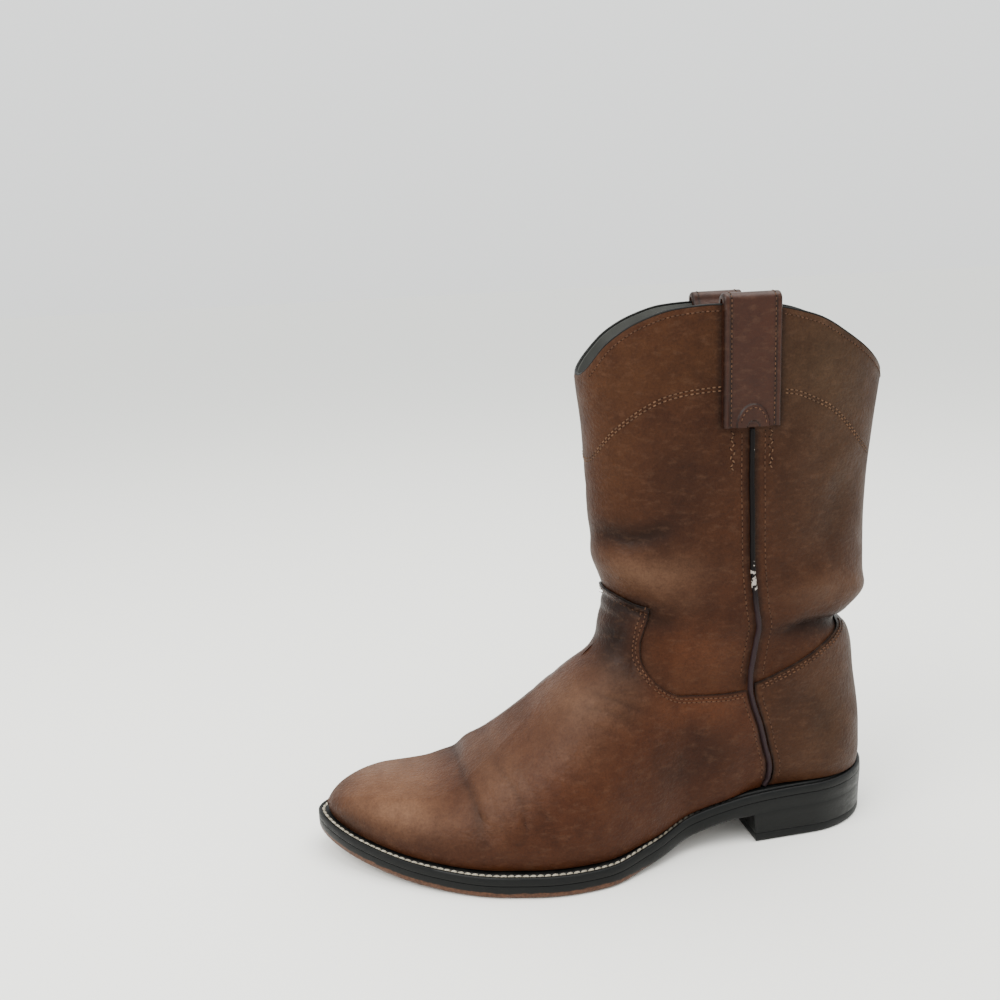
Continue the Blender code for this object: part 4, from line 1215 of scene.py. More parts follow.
def build_shaft(leather):
    """The shaft and the layer that runs on under the vamp and counter, one wall from welt to collar."""
    points, normal, y, z, sides = shaft_grid(SHAFT_COLUMNS, SHAFT_ROWS)
    rows, cols = y.shape
    outer = points.copy()
    outer[-1] -= normal[-1] * RIM_TURN
    inner = points - normal * (WALL * OUTER_SHARE)
    inner[0, :, 2] = z[0]
    vertices = np.vstack([outer.reshape(-1, 3), inner.reshape(-1, 3)])
    tint = tint_of(y, z, sides, leather)
    tint = np.concatenate([tint.reshape(-1, 3), np.full((rows * cols, 3), CUT_EDGE_TINT)])
    made = add_mesh("shaft", vertices, wall_faces(rows, cols), oiled_leather(*SHAFT_LEATHER), tint)
    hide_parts("upper")
    return made


def build_lining():
    """The lining: the inner half of the same wall, a shade below the collar's edge."""
    points, normal, _, z, _ = shaft_grid(LINING_COLUMNS, LINING_ROWS)
    rows, cols = z.shape
    outer = points - normal * (WALL * LINING_SHARE)
    inner = points - normal * WALL
    for layer in (outer, inner):
        layer[0, :, 2] = z[0]
        layer[-1, :, 2] -= LINING_DROP
    vertices = np.vstack([outer.reshape(-1, 3), inner.reshape(-1, 3)])
    made = add_mesh("lining", vertices, wall_faces(rows, cols), suede("lining_suede", LINING_COLOUR))
    return made


def tongue_edge(side):
    """Where each row meets the vamp's hollow edge, as row shares and places round the boot."""
    shares = np.linspace(0.3, 0.8, TONGUE_EDGE_STEPS)
    return shares, solve_around(
        shares, lambda y, z: y > column(VAMP_SIDE, VAMP_SIDE_COLUMNS, "y", z), side
    )


def tongue_corner():
    """The row share at which the hollow edge starts, on the outer side."""
    shares, edge = tongue_edge(OUTER)
    heights = side_place(edge, shares, OUTER)[1]
    return float(np.interp(VAMP_SIDE[0][0], heights, shares))


def vamp_places(side, corner_share):
    """Places (around, share) over one half of the vamp: up to its lower edge, and on up the tongue.

    The tongue's width on each row is where the row meets the hollow edge. Behind it the rows end on the
    lower edge, and the last column follows the side seam.
    """

    def past_seam(y, z):
        return y > of_side(SEAM, SEAM_COLUMNS, side, z) - SEAM_ROOM

    shares, edge = tongue_edge(side)
    corner_around = float(np.interp(corner_share, shares, edge))

    def tongue_width(share):
        high = np.interp(share, shares, edge)
        return np.where(share < corner_share, corner_around, high)

    across = np.linspace(0.0, 1.0, TONGUE_STEPS + 1)
    low, high = np.full(across.shape, corner_share), np.full(across.shape, 0.85)
    for _ in range(HALVINGS):
        mid = (low + high) / 2
        y, z = side_place(across * tongue_width(mid), mid, side)
        over = z > column(VAMP_TOP, VAMP_TOP_COLUMNS, "z", y)
        low, high = np.where(over, low, mid), np.where(over, mid, high)
    tongue_top = high

    behind = np.linspace(0.0, 1.0, VAMP_BEHIND_STEPS + 1)
    seam_shares = np.linspace(0.0, 0.8, SEAM_STEPS)
    seam_around = solve_around(seam_shares, past_seam, side, 1.2)

    def behind_around(share):
        seam = np.interp(share, seam_shares, seam_around)
        return corner_around + behind * (seam - corner_around)

    low, high = np.zeros(behind.shape), np.full(behind.shape, corner_share + 0.1)
    for _ in range(HALVINGS):
        mid = (low + high) / 2
        y, z = side_place(behind_around(mid), mid, side)
        over = z > column(VAMP_LOW, VAMP_LOW_COLUMNS, "z", y)
        low, high = np.where(over, low, mid), np.where(over, mid, high)
    behind_top = high
    behind_top[0] = corner_share

    up = np.linspace(0.0, 1.0, VAMP_LOW_ROWS + 1)[:, None]
    front_share = np.broadcast_to(corner_share * up, (len(up), len(across)))
    front_around = np.broadcast_to(across * corner_around, front_share.shape)
    back_share = up * behind_top[None, :]
    back_around = behind_around(back_share)
    low_around = np.concatenate([front_around, back_around[:, 1:]], axis=1)
    low_share = np.concatenate([front_share, back_share[:, 1:]], axis=1)
    on = np.linspace(0.0, 1.0, VAMP_HIGH_ROWS + 1)[1:, None]
    high_share = corner_share + on * (tongue_top - corner_share)[None, :]
    high_around = across[None, :] * tongue_width(high_share)
    return (low_around, low_share), (high_around, high_share)


def both_sides(outer, inner):
    """One grid from the outer side's half, with the inner side's half turned round before it."""
    return np.concatenate([inner[:, :0:-1], outer], axis=1)


def build_vamp(leather):
    """The vamp: the foot's front with its tongue and ears, a second layer with a thin cut edge."""
    corner = tongue_corner()
    grids = []
    for outer, inner in zip(vamp_places(OUTER, corner), vamp_places(INNER, corner)):
        outer_y, outer_z = side_place(*outer, OUTER)
        inner_y, inner_z = side_place(*inner, INNER)
        pairs = ((outer_y, inner_y), (outer_z, inner_z), (outer[0], inner[0]))
        grids.append([both_sides(*pair) for pair in pairs])
    low_cols = grids[0][0].shape[1]
    high_cols = grids[1][0].shape[1]
    low_rows, high_rows = grids[0][0].shape[0], grids[1][0].shape[0]
    flat = [np.concatenate([grids[0][i].ravel(), grids[1][i].ravel()]) for i in range(3)]
    low_side = np.broadcast_to(np.where(np.arange(low_cols) < low_cols // 2, -1.0, 1.0), grids[0][0].shape)
    high_side = np.broadcast_to(np.where(np.arange(high_cols) < high_cols // 2, -1.0, 1.0), grids[1][0].shape)
    side = np.concatenate([low_side.ravel(), high_side.ravel()])
    y, z, around = flat
    points, normal = skin(y, z, side, around < 1e-9)
    base = low_rows * low_cols
    first = VAMP_BEHIND_STEPS
    top_row = (low_rows - 1) * low_cols
    low_quads = quads(low_rows, low_cols, False)
    high_quads = quads(high_rows, high_cols, False, base)
    joint = np.arange(high_cols)
    join_low = top_row + first + joint
    join_high = base + joint
    join = np.stack([join_low[:-1], join_low[1:], join_high[1:], join_high[:-1]], -1)
    last_row = base + (high_rows - 1) * high_cols
    edge_left = [base + r * high_cols for r in range(high_rows)]
    edge_right = [base + r * high_cols + high_cols - 1 for r in range(high_rows)]
    border = np.concatenate(
        [
            np.arange(low_cols),
            np.arange(1, low_rows) * low_cols + low_cols - 1,
            np.arange(top_row + low_cols - 2, top_row + first + high_cols - 2, -1),
            edge_right,
            np.arange(last_row + high_cols - 2, last_row, -1),
            edge_left[::-1],
            np.arange(top_row + first, top_row, -1),
            np.arange(low_rows - 1, 0, -1) * low_cols,
        ]
    )
    below_top = column(VAMP_TOP, VAMP_TOP_COLUMNS, "z", y) - z
    curl = TONGUE_CURL * np.exp(-((below_top / TONGUE_CURL_REACH) ** 2))
    curl *= smooth_step((TONGUE_CURL_END - y) / TONGUE_CURL_FADE)
    thick = GAP + OVERLAY + curl
    thick[border[low_cols:]] -= EDGE_BEVEL
    outer = points + normal * thick[:, None]
    inner = points + normal * (LAYER_SUNK + CURL_UNDER * curl)[:, None]
    bottom = np.arange(low_cols)
    for layer in (outer, inner):
        layer[bottom, 2] = z[bottom]
    count = len(y)
    faces = np.vstack([low_quads, join, high_quads])
    faces = np.vstack([faces, faces[:, ::-1] + count, rim_faces(border, count)])
    tint = tint_of(y, z, side, leather)
    tint[border[low_cols:]] *= EDGE_SHADE
    tint = np.concatenate([tint, np.full((count, 3), CUT_EDGE_TINT)])
    made = add_mesh("vamp_skin", np.vstack([outer, inner]), faces, oiled_leather(*VAMP_LEATHER), tint)
    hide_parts("vamp")
    return made


def counter_places(side):
    """Places (y, z, around) over one half of the counter, from its side seam to the back's middle line."""

    def past_seam(y, z):
        return y > of_side(SEAM, SEAM_COLUMNS, side, z) + SEAM_ROOM

    along = np.linspace(0.0, 1.0, COUNTER_COLUMNS + 1)
    seam_shares = np.linspace(0.0, 0.8, SEAM_STEPS)
    seam_around = solve_around(seam_shares, past_seam, side, 1.4)

    def places(share):
        start = np.interp(share, seam_shares, seam_around)
        return start + along * (2.0 - start)

    low, high = np.zeros(along.shape), np.full(along.shape, 0.8)
    for _ in range(HALVINGS):
        mid = (low + high) / 2
        y, z = side_place(places(mid), mid, side)
        over = z > column(COUNTER_TOP, COUNTER_TOP_COLUMNS, "z", y)
        low, high = np.where(over, low, mid), np.where(over, mid, high)
    share = np.linspace(0.0, 1.0, COUNTER_ROWS + 1)[:, None] * high[None, :]
    around = places(share)
    return (*side_place(around, share, side), around)


def build_counter(leather):
    """The counter: the heel's second layer, from side seam to side seam round the back."""
    halves = zip(counter_places(OUTER), counter_places(INNER))
    y, z, around = (np.concatenate([outer, inner[:, -2::-1]], axis=1) for outer, inner in halves)
    rows, cols = y.shape
    side = np.broadcast_to(np.where(np.arange(cols) <= COUNTER_COLUMNS, 1.0, -1.0), y.shape)
    points, normal = skin(y, z, side, around > 2 - 1e-9)
    thick = np.full(y.shape, GAP + OVERLAY)
    thick[-1] -= EDGE_BEVEL
    thick[:, 0] -= EDGE_BEVEL
    thick[:, -1] -= EDGE_BEVEL
    outer = points + normal * thick[..., None]
    inner = points + normal * LAYER_SUNK
    for layer in (outer, inner):
        layer[0, :, 2] = z[0]
    count = rows * cols
    border = grid_border(rows, cols)
    faces = quads(rows, cols, False)
    faces = np.vstack([faces, faces[:, ::-1] + count, rim_faces(border, count)])
    tint = tint_of(y, z, side, leather).reshape(-1, 3)
    tint[border[cols:]] *= EDGE_SHADE
    tint = np.concatenate([tint, np.full((count, 3), CUT_EDGE_TINT)])
    vertices = np.vstack([outer.reshape(-1, 3), inner.reshape(-1, 3)])
    made = add_mesh("counter_skin", vertices, faces, oiled_leather(*COUNTER_LEATHER), tint)
    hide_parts("counter")
    return made


def path_frame(path, out):
    """Unit directions along a path, outward, and across it."""
    along = np.gradient(path, axis=0)
    along /= np.linalg.norm(along, axis=1)[:, None]
    across = np.cross(out, along)
    across /= np.linalg.norm(across, axis=1)[:, None]
    return along, np.cross(along, across), across


def build_pipings(leather):
    """A thin dark bead over each side seam, rubbed pale at the ankle and purplish grey below it."""
    look = dark_bead()
    sides = (("outer_piping", "piping_outer_side", OUTER), ("inner_piping", "piping_inner_side", INNER))
    for name, node_name, side in sides:
        foot = float(feather(of_side(SEAM, SEAM_COLUMNS, side, 30.0)))
        z = np.linspace(foot + 0.5, STRAP_BOTTOM - 1.0, PIPING_STEPS)
        y = of_side(SEAM, SEAM_COLUMNS, side, z)
        points, normal = skin(y, z, side)
        _, out, across = path_frame(points, normal)
        out = out * np.sign(np.sum(out * normal, axis=1))[:, None]
        turn = np.linspace(0.0, math.pi, ROUND_STEPS)
        low = smooth_step((PIPING_LOW_TOP - z) / PIPING_LOW_FADE)[:, None]
        half = PIPING_HALF * (1 + 0.07 * np.sin(z * 0.9) * np.sin(z * 0.23 + 1.0))[:, None]
        proud = (PIPING_PROUD * (1 - low) + PIPING_LOW_PROUD * low) * np.sin(turn) ** 0.8
        path = points[:, None] + across[:, None] * (half * np.cos(turn))[..., None]
        path = path + out[:, None] * proud[..., None]
        rows, cols = path.shape[:2]
        faces = quads(rows, cols, True).tolist()
        faces.append(list(range(cols))[::-1])
        faces.append(list(range((rows - 1) * cols, rows * cols)))
        fade = (smooth_step((146.0 - z) / 24.0) * 0.9)[:, None, None]
        tint = np.asarray(leather, float) * (1 - fade) + srgb(PIPING_LOW_COLOUR) * fade
        tint = np.broadcast_to(tint, path.shape)
        rubbed = np.exp(-(((z - PIPING_WORN_HEIGHT) / PIPING_WORN_SPREAD) ** 2))[:, None]
        rubbed = np.broadcast_to(rubbed, path.shape[:2])
        made = add_mesh(name, path.reshape(-1, 3), faces, look, tint, alpha=rubbed)
        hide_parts(node_name)


def strap_middle(side):
    """Where a pull strap's middle line stands along the boot."""
    return STRAP_MIDDLE_OUTER if side > 0 else STRAP_MIDDLE_INNER


def strap_line():
    """A pull strap's middle line as (offset outward, height), with its inner leg bowed clear of the wall."""
    outer = GAP + STRAP_THICK / 2
    inner = -(WALL + GAP + STRAP_THICK / 2)
    reach = (outer - inner) / 2
    up = np.linspace(STRAP_BOTTOM, STRAP_TOP, STRAP_LEG_STEPS)
    turn = np.linspace(0.0, math.pi, STRAP_BEND_STEPS)[1:-1]
    down = np.linspace(STRAP_TOP, STRAP_BOTTOM + STRAP_SHORT, STRAP_BOW_STEPS)
    share = (STRAP_TOP - down) / (down[0] - down[-1])
    bow = STRAP_BOW * np.sin(share * math.pi) ** STRAP_BOW_POWER
    return np.concatenate(
        [
            np.stack([np.full(len(up), outer), up], -1),
            np.stack([inner + reach + reach * np.cos(turn), STRAP_TOP + reach * np.sin(turn)], -1),
            np.stack([inner - bow, down], -1),
        ]
    )


def strap_surface(side, offset, across):
    """Points of a pull strap at an offset from its middle line, at steps across its width."""
    line = strap_line()
    step = np.gradient(line, axis=0)
    step /= np.linalg.norm(step, axis=1)[:, None]
    turned = np.stack([step[:, 1], -step[:, 0]], -1)
    offset = np.broadcast_to(np.asarray(offset, float), (len(line), len(across)))
    out = line[:, :1] + turned[:, :1] * offset
    z = line[:, 1:] + turned[:, 1:] * offset
    y = np.broadcast_to(strap_middle(side) + across, z.shape)
    wall = half_width(y, np.minimum(z, WALL_TOP), side)
    return np.stack([middle(y, z) + side * (wall + out), y, z], -1)


def strap_height(share):
    """Half the strap's thickness at each place on its outer face: rolled lips, and the half-moon patch.

    The lips rise by a bell curve near both edges, and fade out below the bend. The patch is a half ellipse
    over the strap's foot with a rounded edge, and is cut away over the piping.
    """
    line = strap_line()
    z = np.where(np.arange(len(line)) < STRAP_LEG_STEPS, line[:, 1], STRAP_TOP)[:, None]
    across = share[None, :] * STRAP_WIDTH / 2
    upright = (np.arange(len(line)) < STRAP_LEG_STEPS)[:, None]
    faded = np.where(upright, smooth_step((STRAP_TOP - z) / LIP_FADE), 0.0)
    lip = LIP_HEIGHT * np.exp(-(((np.abs(across) - LIP_PLACE) / LIP_WIDTH) ** 2)) * faded
    outermost = np.clip((np.abs(share) - STRAP_EDGE_FROM) / (1 - STRAP_EDGE_FROM), 0.0, 1.0)
    edge = STRAP_EDGE_DROP * outermost[None, :] ** 2
    reach = np.hypot(across / PATCH_HALF, (z - STRAP_BOTTOM) / PATCH_RISE)
    patch = smooth_step((1.0 - reach) * 12.0)
    notch = smooth_step((np.hypot(across, z - STRAP_BOTTOM) - PATCH_NOTCH) / PATCH_NOTCH_SOFT)
    return STRAP_THICK / 2 + lip - edge + PATCH_THICK * patch * notch, patch * notch


def build_straps(leather):
    """Two pull straps: smooth doubled leather with rolled lips and a patch, looped over the collar."""
    look = oiled_leather(*STRAP_LEATHER)
    sides = (("outer_strap", "pull_strap_outer", OUTER), ("inner_strap", "pull_strap_inner", INNER))
    for name, node_name, side in sides:
        share = np.linspace(-1.0, 1.0, STRAP_STEPS)
        across = share * STRAP_WIDTH / 2
        height, patch = strap_height(share)
        outer = strap_surface(side, height, across)
        inner = strap_surface(side, -STRAP_THICK / 2, across)
        rows, cols = outer.shape[:2]
        count = rows * cols
        border = grid_border(rows, cols)
        faces = quads(rows, cols, False)
        faces = np.vstack([faces, faces[:, ::-1] + count, rim_faces(border, count)])
        colour = np.broadcast_to(np.asarray(leather, float), (rows, cols, 3)).copy()
        # Painted shade inside each rolled lip and painted shadow under the patch's rim; rim darkens both
        # edges
        beside = np.exp(-(((np.abs(across) - LIP_PLACE + 1.7) / 0.7) ** 2))[None, :, None] * 0.8
        rim = np.clip((np.abs(share) - 0.9) / 0.1, 0.0, 1.0)[None, :, None] * 0.8
        shown = np.clip(6 * patch * (1 - patch), 0.0, 1.0)[..., None] * 0.9
        dark = np.clip(beside + rim + shown, 0.0, 0.92)
        colour = colour * (1 - dark) + srgb(DARK_BROWN) * 0.5 * dark
        colour = np.concatenate([colour.reshape(-1, 3), np.tile(np.asarray(leather, float), (count, 1))])
        vertices = np.vstack([outer.reshape(-1, 3), inner.reshape(-1, 3)])
        made = add_mesh(name, vertices, faces, look, colour)
        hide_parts(node_name)


def build_collar_edge():
    """The collar's cut edge: a thin dark bead between the leather and the lining."""
    around, sides = around_columns(COLLAR_EDGE_COLUMNS)
    y, z = side_place(around, np.ones(len(around)), sides)
    points, normal = skin(y, z, sides, (around < 1e-9) | (around > 2 - 1e-9))
    centre = points - normal * (WALL / 2)
    along = np.roll(centre, -1, axis=0) - np.roll(centre, 1, axis=0)
    up = np.cross(normal, along)
    up /= np.linalg.norm(up, axis=1)[:, None]
    up *= np.sign(up[:, 2])[:, None]
    turn = np.linspace(0.0, 2 * math.pi, ROUND_STEPS)[:-1]
    ring = centre[:, None] + normal[:, None] * (BEAD_HALF * np.cos(turn))[None, :, None]
    ring = ring + up[:, None] * (BEAD_RISE + BEAD_TALL * np.sin(turn))[None, :, None]
    count, steps = ring.shape[:2]
    i, j = np.meshgrid(np.arange(count), np.arange(steps), indexing="ij")
    ni, nj = (i + 1) % count, (j + 1) % steps
    faces = np.stack([i * steps + j, ni * steps + j, ni * steps + nj, i * steps + nj], -1).reshape(-1, 4)
    look = edge_black("collar_bead", 0.55, 0.5)
    made = add_mesh("collar_edge", ring.reshape(-1, 3), faces, look)
    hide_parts("collar_piping")


def sole_loop(count, inset, first=TOE_TIP):
    """A loop round the sole's outline: out along the outer side and back along the inner one."""
    tip = max(first, TOE_TIP + inset)
    back = HEEL_BACK - inset
    angle = np.arange(count) * 2 * math.pi / count
    y = (tip + back) / 2 - (back - tip) / 2 * np.cos(angle)
    side = np.where(np.arange(count) <= count // 2, 1.0, -1.0)
    centre, half = outline(y, inset)
    half[count // 2] = 0.0
    if first == TOE_TIP:
        half[0] = 0.0
    return np.stack([centre + side * half, y], -1)


def even_loop(flat):
    """The same loop with its points spaced evenly along it."""
    ring = np.vstack([flat, flat[:1]])
    length = np.concatenate([[0.0], np.cumsum(np.linalg.norm(np.diff(ring, axis=0), axis=1))])
    at = np.linspace(0.0, length[-1], len(flat), endpoint=False)
    return np.stack([np.interp(at, length, ring[:, i]) for i in range(2)], -1)


def sole_ring(inset, height):
    """A loop round the sole at a height above its underside, hardly rounded off over the heel."""
    flat = even_loop(sole_loop(SOLE_STEPS * FINER, inset))[::FINER]
    full = even_loop(sole_loop(SOLE_STEPS * FINER, min(inset, HEEL_BEVEL)))[::FINER]
    heel = smooth_step((flat[:, 1:] - HEEL_BREAST + HEEL_BEVEL_FROM) / HEEL_BEVEL_LENGTH)
    heel = heel * (height < OUTSOLE_THICK)
    flat = flat * (1 - heel) + full * heel
    return np.column_stack([flat, under(flat[:, 1]) + height])


def loft(rings, cap_low=True, cap_high=True):
    """Vertices and faces of a solid through closed rings, with its ends closed by fans."""
    count = len(rings[0])
    vertices = np.vstack(rings)
    faces = quads(len(rings), count, True).tolist()
    for wanted, start in ((cap_low, 0), (cap_high, (len(rings) - 1) * count)):
        if wanted:
            centre = len(vertices)
            vertices = np.vstack([vertices, vertices[start : start + count].mean(axis=0)])
            span = np.arange(count)
            fan = np.stack([start + span, start + (span + 1) % count, np.full(count, centre)], -1)
            faces += (fan[:, ::-1] if start == 0 else fan).tolist()
    return vertices, faces


def across_fill(ring, steps=10):
    """Rings that draw in from a sole ring to its middle line, so that a wide face bends with the sole."""
    flat = ring[:, :2]
    centre = outline(flat[:, 1], 0.0)[0]
    drawn = []
    for share in np.linspace(0.0, 1.0, steps + 1)[1:-1]:
        x = centre + (flat[:, 0] - centre) * (1 - share)
        y = flat[:, 1]
        drawn.append(np.column_stack([x, y, ring[:, 2]]))
    return drawn


def build_sole():
    """The outsole with its worn edge, the welt with its channel, and the heel under them."""
    sole_look = edge_black("outsole_edge", 0.36, 0.35, (78, 50, 34))
    bottom_look = suede("outsole_bottom", (76, 52, 37))
    rings = [sole_ring(**section) for section in rows_of(OUTSOLE_SECTION, SECTION_COLUMNS)]
    vertices, faces = loft(across_fill(rings[0])[::-1] + rings)
    fore = smooth_step((BARE_FROM - vertices[:, 1]) / BARE_LENGTH)
    rise = vertices[:, 2] - under(vertices[:, 1])
    bare = np.clip(1.5 - rise / BARE_RISE, 0.0, 1.0) * fore
    made = add_mesh("outsole_edge", vertices, faces, sole_look, np.repeat(bare[:, None], 3, axis=1), 50.0)
    made.data.materials.append(bottom_look)
    normals = np.zeros(len(made.data.polygons) * 3)
    made.data.polygons.foreach_get("normal", normals)
    down = normals.reshape(-1, 3)[:, 2] < -0.9
    made.data.polygons.foreach_set("material_index", down.astype(np.int32))
    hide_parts("outsole")

    rings = [
        sole_ring(section["inset"], OUTSOLE_THICK + WELT_LIFT + section["height"])
        for section in rows_of(WELT_SECTION, SECTION_COLUMNS)
    ]
    count = SOLE_STEPS
    vertices = np.vstack(rings)
    faces = quads(len(rings), count, True)
    top = (len(rings) - 1) * count
    span = np.arange(count)
    after = (span + 1) % count
    faces = np.vstack([faces, np.stack([top + span, top + after, after, span], -1)])
    made = add_mesh("welt_strip", vertices, faces, edge_black("welt_dressing", 0.4, 0.4), None, 50.0)
    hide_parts("welt")

    build_heel()


def heel_ring(inset, set_back, base, height):
    """A D-shaped loop behind the heel's breast, evenly stepped round its curve, straight across its front."""
    flat = sole_loop(HEEL_STEPS * HEEL_FINER, inset, HEEL_BREAST + set_back)
    ring = even_loop(flat)[::HEEL_FINER]
    seat = under(ring[:, 1]) if base == "seat" else 0.0
    return np.column_stack([ring, np.zeros(len(ring)) + seat + height])


def build_heel():
    """The stacked heel and its rubber lift, both black."""
    stack = [heel_ring(**section) for section in rows_of(HEEL_STACK, HEEL_COLUMNS)]
    made = add_mesh("heel_stack", *loft(stack), edge_black("heel_dressing", 0.34, 0.3), None, HEEL_SHARP)
    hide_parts("heel_block")
    lift = [heel_ring(**section) for section in rows_of(HEEL_LIFT, HEEL_COLUMNS)]
    made = add_mesh("heel_lift", *loft(lift), edge_black("heel_rubber", 0.45, 0.4), None, HEEL_SHARP)
    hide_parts("heel_cap")


def build_insole():
    """The insole seen down the shaft: pale napped leather, clouded darker in places."""
    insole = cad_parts["insole"]
    look = suede("insole_leather", (132, 104, 78))
    insole.data.materials.clear()
    insole.data.materials.append(look)


def stitch_template(steps=5, round_steps=6):
    """A short thread: a rounded bar along X from -1 to 1, arched over so that its ends dip in."""
    t = np.linspace(-1.0, 1.0, steps)
    radius = np.sqrt(np.clip(1.05 - t**4, 0.05, 1.0))
    turn = np.arange(round_steps) * 2 * math.pi / round_steps
    rings = np.stack(
        [
            np.repeat(t, round_steps),
            np.outer(radius, np.cos(turn)).ravel(),
            np.outer(radius, np.sin(turn)).ravel() - np.repeat(0.9 * t**2, round_steps),
        ],
        -1,
    )
    faces = quads(steps, round_steps, True)
    caps = [list(range(round_steps))[::-1], list(range((steps - 1) * round_steps, steps * round_steps))]
    return rings, faces, caps


def place_many(template, centres, along, across, out, length, width, lift):
    """Copies of a template at many places: its X runs along, Y across and Z out."""
    rings, faces, caps = template
    points = (
        centres[:, None]
        + along[:, None] * (rings[None, :, :1] * length)
        + across[:, None] * (rings[None, :, 1:2] * width)
        + out[:, None] * (rings[None, :, 2:] * width + lift)
    )
    count, size = points.shape[:2]
    start = np.arange(count)[:, None, None] * size
    quads_all = (faces[None] + start).reshape(-1, faces.shape[1])
    caps_all = (np.array(caps)[None] + start).reshape(-1, len(caps[0]))
    return points.reshape(-1, 3), quads_all, caps_all


def seam_line(points, side, pitch, offset, start=0.0):
    """Evenly spaced places on the worn surface along a line in the side view, with their directions."""
    line = np.array(points, float)
    step = np.concatenate([[0.0], np.cumsum(np.linalg.norm(np.diff(line, axis=0), axis=1))])
    fine = np.linspace(0.0, step[-1], LINE_STEPS)
    y = np.interp(fine, step, line[:, 0])
    z = np.interp(fine, step, line[:, 1])
    at, normal = skin(y, z, side)
    at = at + normal * offset
    length = np.concatenate([[0.0], np.cumsum(np.linalg.norm(np.diff(at, axis=0), axis=1))])
    places = np.arange(start + pitch / 2, length[-1], pitch)
    centre = np.stack([np.interp(places, length, at[:, i]) for i in range(3)], -1)
    out = np.stack([np.interp(places, length, normal[:, i]) for i in range(3)], -1)
    ahead = np.stack([np.interp(places + 0.5, length, at[:, i]) for i in range(3)], -1)
    behind = np.stack([np.interp(places - 0.5, length, at[:, i]) for i in range(3)], -1)
    along = ahead - behind
    along /= np.linalg.norm(along, axis=1)[:, None]
    out /= np.linalg.norm(out, axis=1)[:, None]
    across = np.cross(out, along)
    return centre, along, across, out


def shifted(points, distance):
    """A side-view line moved sideways by a distance, to the left of its direction."""
    line = np.array(points, float)
    step = np.gradient(line, axis=0)
    step /= np.linalg.norm(step, axis=1)[:, None]
    return line + np.stack([-step[:, 1], step[:, 0]], -1) * distance


def smooth_line(points, per_piece=8):
    """A side-view line through its points as a soft curve."""
    line = np.array(points, float)
    padded = np.vstack([2 * line[0] - line[1], line, 2 * line[-1] - line[-2]])
    t = np.linspace(0.0, 1.0, per_piece, endpoint=False)[:, None]
    pieces = []
    for i in range(len(line) - 1):
        a, b, c, d = padded[i : i + 4]
        pieces.append(
            0.5 * (2 * b + (c - a) * t + (2 * a - 5 * b + 4 * c - d) * t**2 + (3 * b - a - 3 * c + d) * t**3)
        )
    return np.vstack(pieces + [line[-1:]])


def seam_rows():
    """Every row of stitches: its thread, side-view line, side, pitch and height of the surface it lies on."""
    over = GAP + OVERLAY
    side_edge = smooth_line([(y, z) for z, y in VAMP_SIDE])
    top = smooth_line([row for row in VAMP_TOP[::-1] if 0.0 < row[0] < 24.0])
    yoke = smooth_line([row for row in YOKE if row[0] < 57.0], 6)
    rows = []
    for side in (OUTER, INNER):
        seam_y = float(of_side(SEAM, SEAM_COLUMNS, side, 90.0))
        strap_end = strap_middle(side) + STRAP_WIDTH / 2
        low = smooth_line([row for row in VAMP_LOW if row[0] < seam_y - 4.0] + [(seam_y - 3.5, 84.8)])
        counter = [row for row in COUNTER_TOP if seam_y + 8.0 < row[0] < 140.0]
        counter = smooth_line([(seam_y + 4.0, 88.6)] + counter)
        yoke_back = smooth_line([row for row in YOKE if row[0] > strap_end - 1.0], 6)
        for inset in EDGE_INSETS:
            for line, shift in ((low, -inset), (side_edge, inset), (top, inset), (counter, -inset)):
                rows.append(("edge", shifted(line, shift), side, EDGE_PITCH, over))
        heights = np.linspace(92.0, STRAP_BOTTOM - 2.0, 60)
        seam = np.column_stack([of_side(SEAM, SEAM_COLUMNS, side, heights), heights])
        low_heights = np.linspace(34.0, 82.0, 20)
        low_seam = np.column_stack([of_side(SEAM, SEAM_COLUMNS, side, low_heights), low_heights])
        for shift in SEAM_SHIFTS:
            rows.append(("seam", seam + (shift, 0.0), side, SEAM_PITCH, 0.0))
        for shift in LOW_SEAM_SHIFTS:
            rows.append(("seam", low_seam + (shift, 0.0), side, SEAM_PITCH, over))
        for shift in YOKE_SHIFTS:
            for line in (yoke, yoke_back):
                rows.append(("yoke", line + (0.0, shift), side, YOKE_PITCH, 0.0))
        for line in collar_lines(COLLAR_DROP, side):
            rows.append(("seam", line, side, COLLAR_PITCH, 0.0))
    for place in ZIGZAG_PLACES:
        heights = np.arange(ZIGZAG_LOW, STRAP_BOTTOM - 1.0, ZIGZAG_STEP)
        zigzag = np.where(np.arange(len(heights)) % 2 == 0, ZIGZAG_HALF, -ZIGZAG_HALF)
        line = np.column_stack([of_side(SEAM, SEAM_COLUMNS, OUTER, heights) + place + zigzag, heights])
        rows.append(("yoke", line, OUTER, EDGE_PITCH, 0.1))
    return rows


def collar_lines(drop, side):
    """Side-view lines just under the collar, before and behind the pull strap."""
    around = np.linspace(0.06, 1.94, 240)
    y, z = side_place(around, np.ones(len(around)), side)
    under_rim = shifted(np.column_stack([y, z]), -drop)
    clear = STRAP_WIDTH / 2 + 1.0
    front = under_rim[under_rim[:, 0] < strap_middle(side) - clear]
    back = under_rim[under_rim[:, 0] > strap_middle(side) + clear]
    return front, back


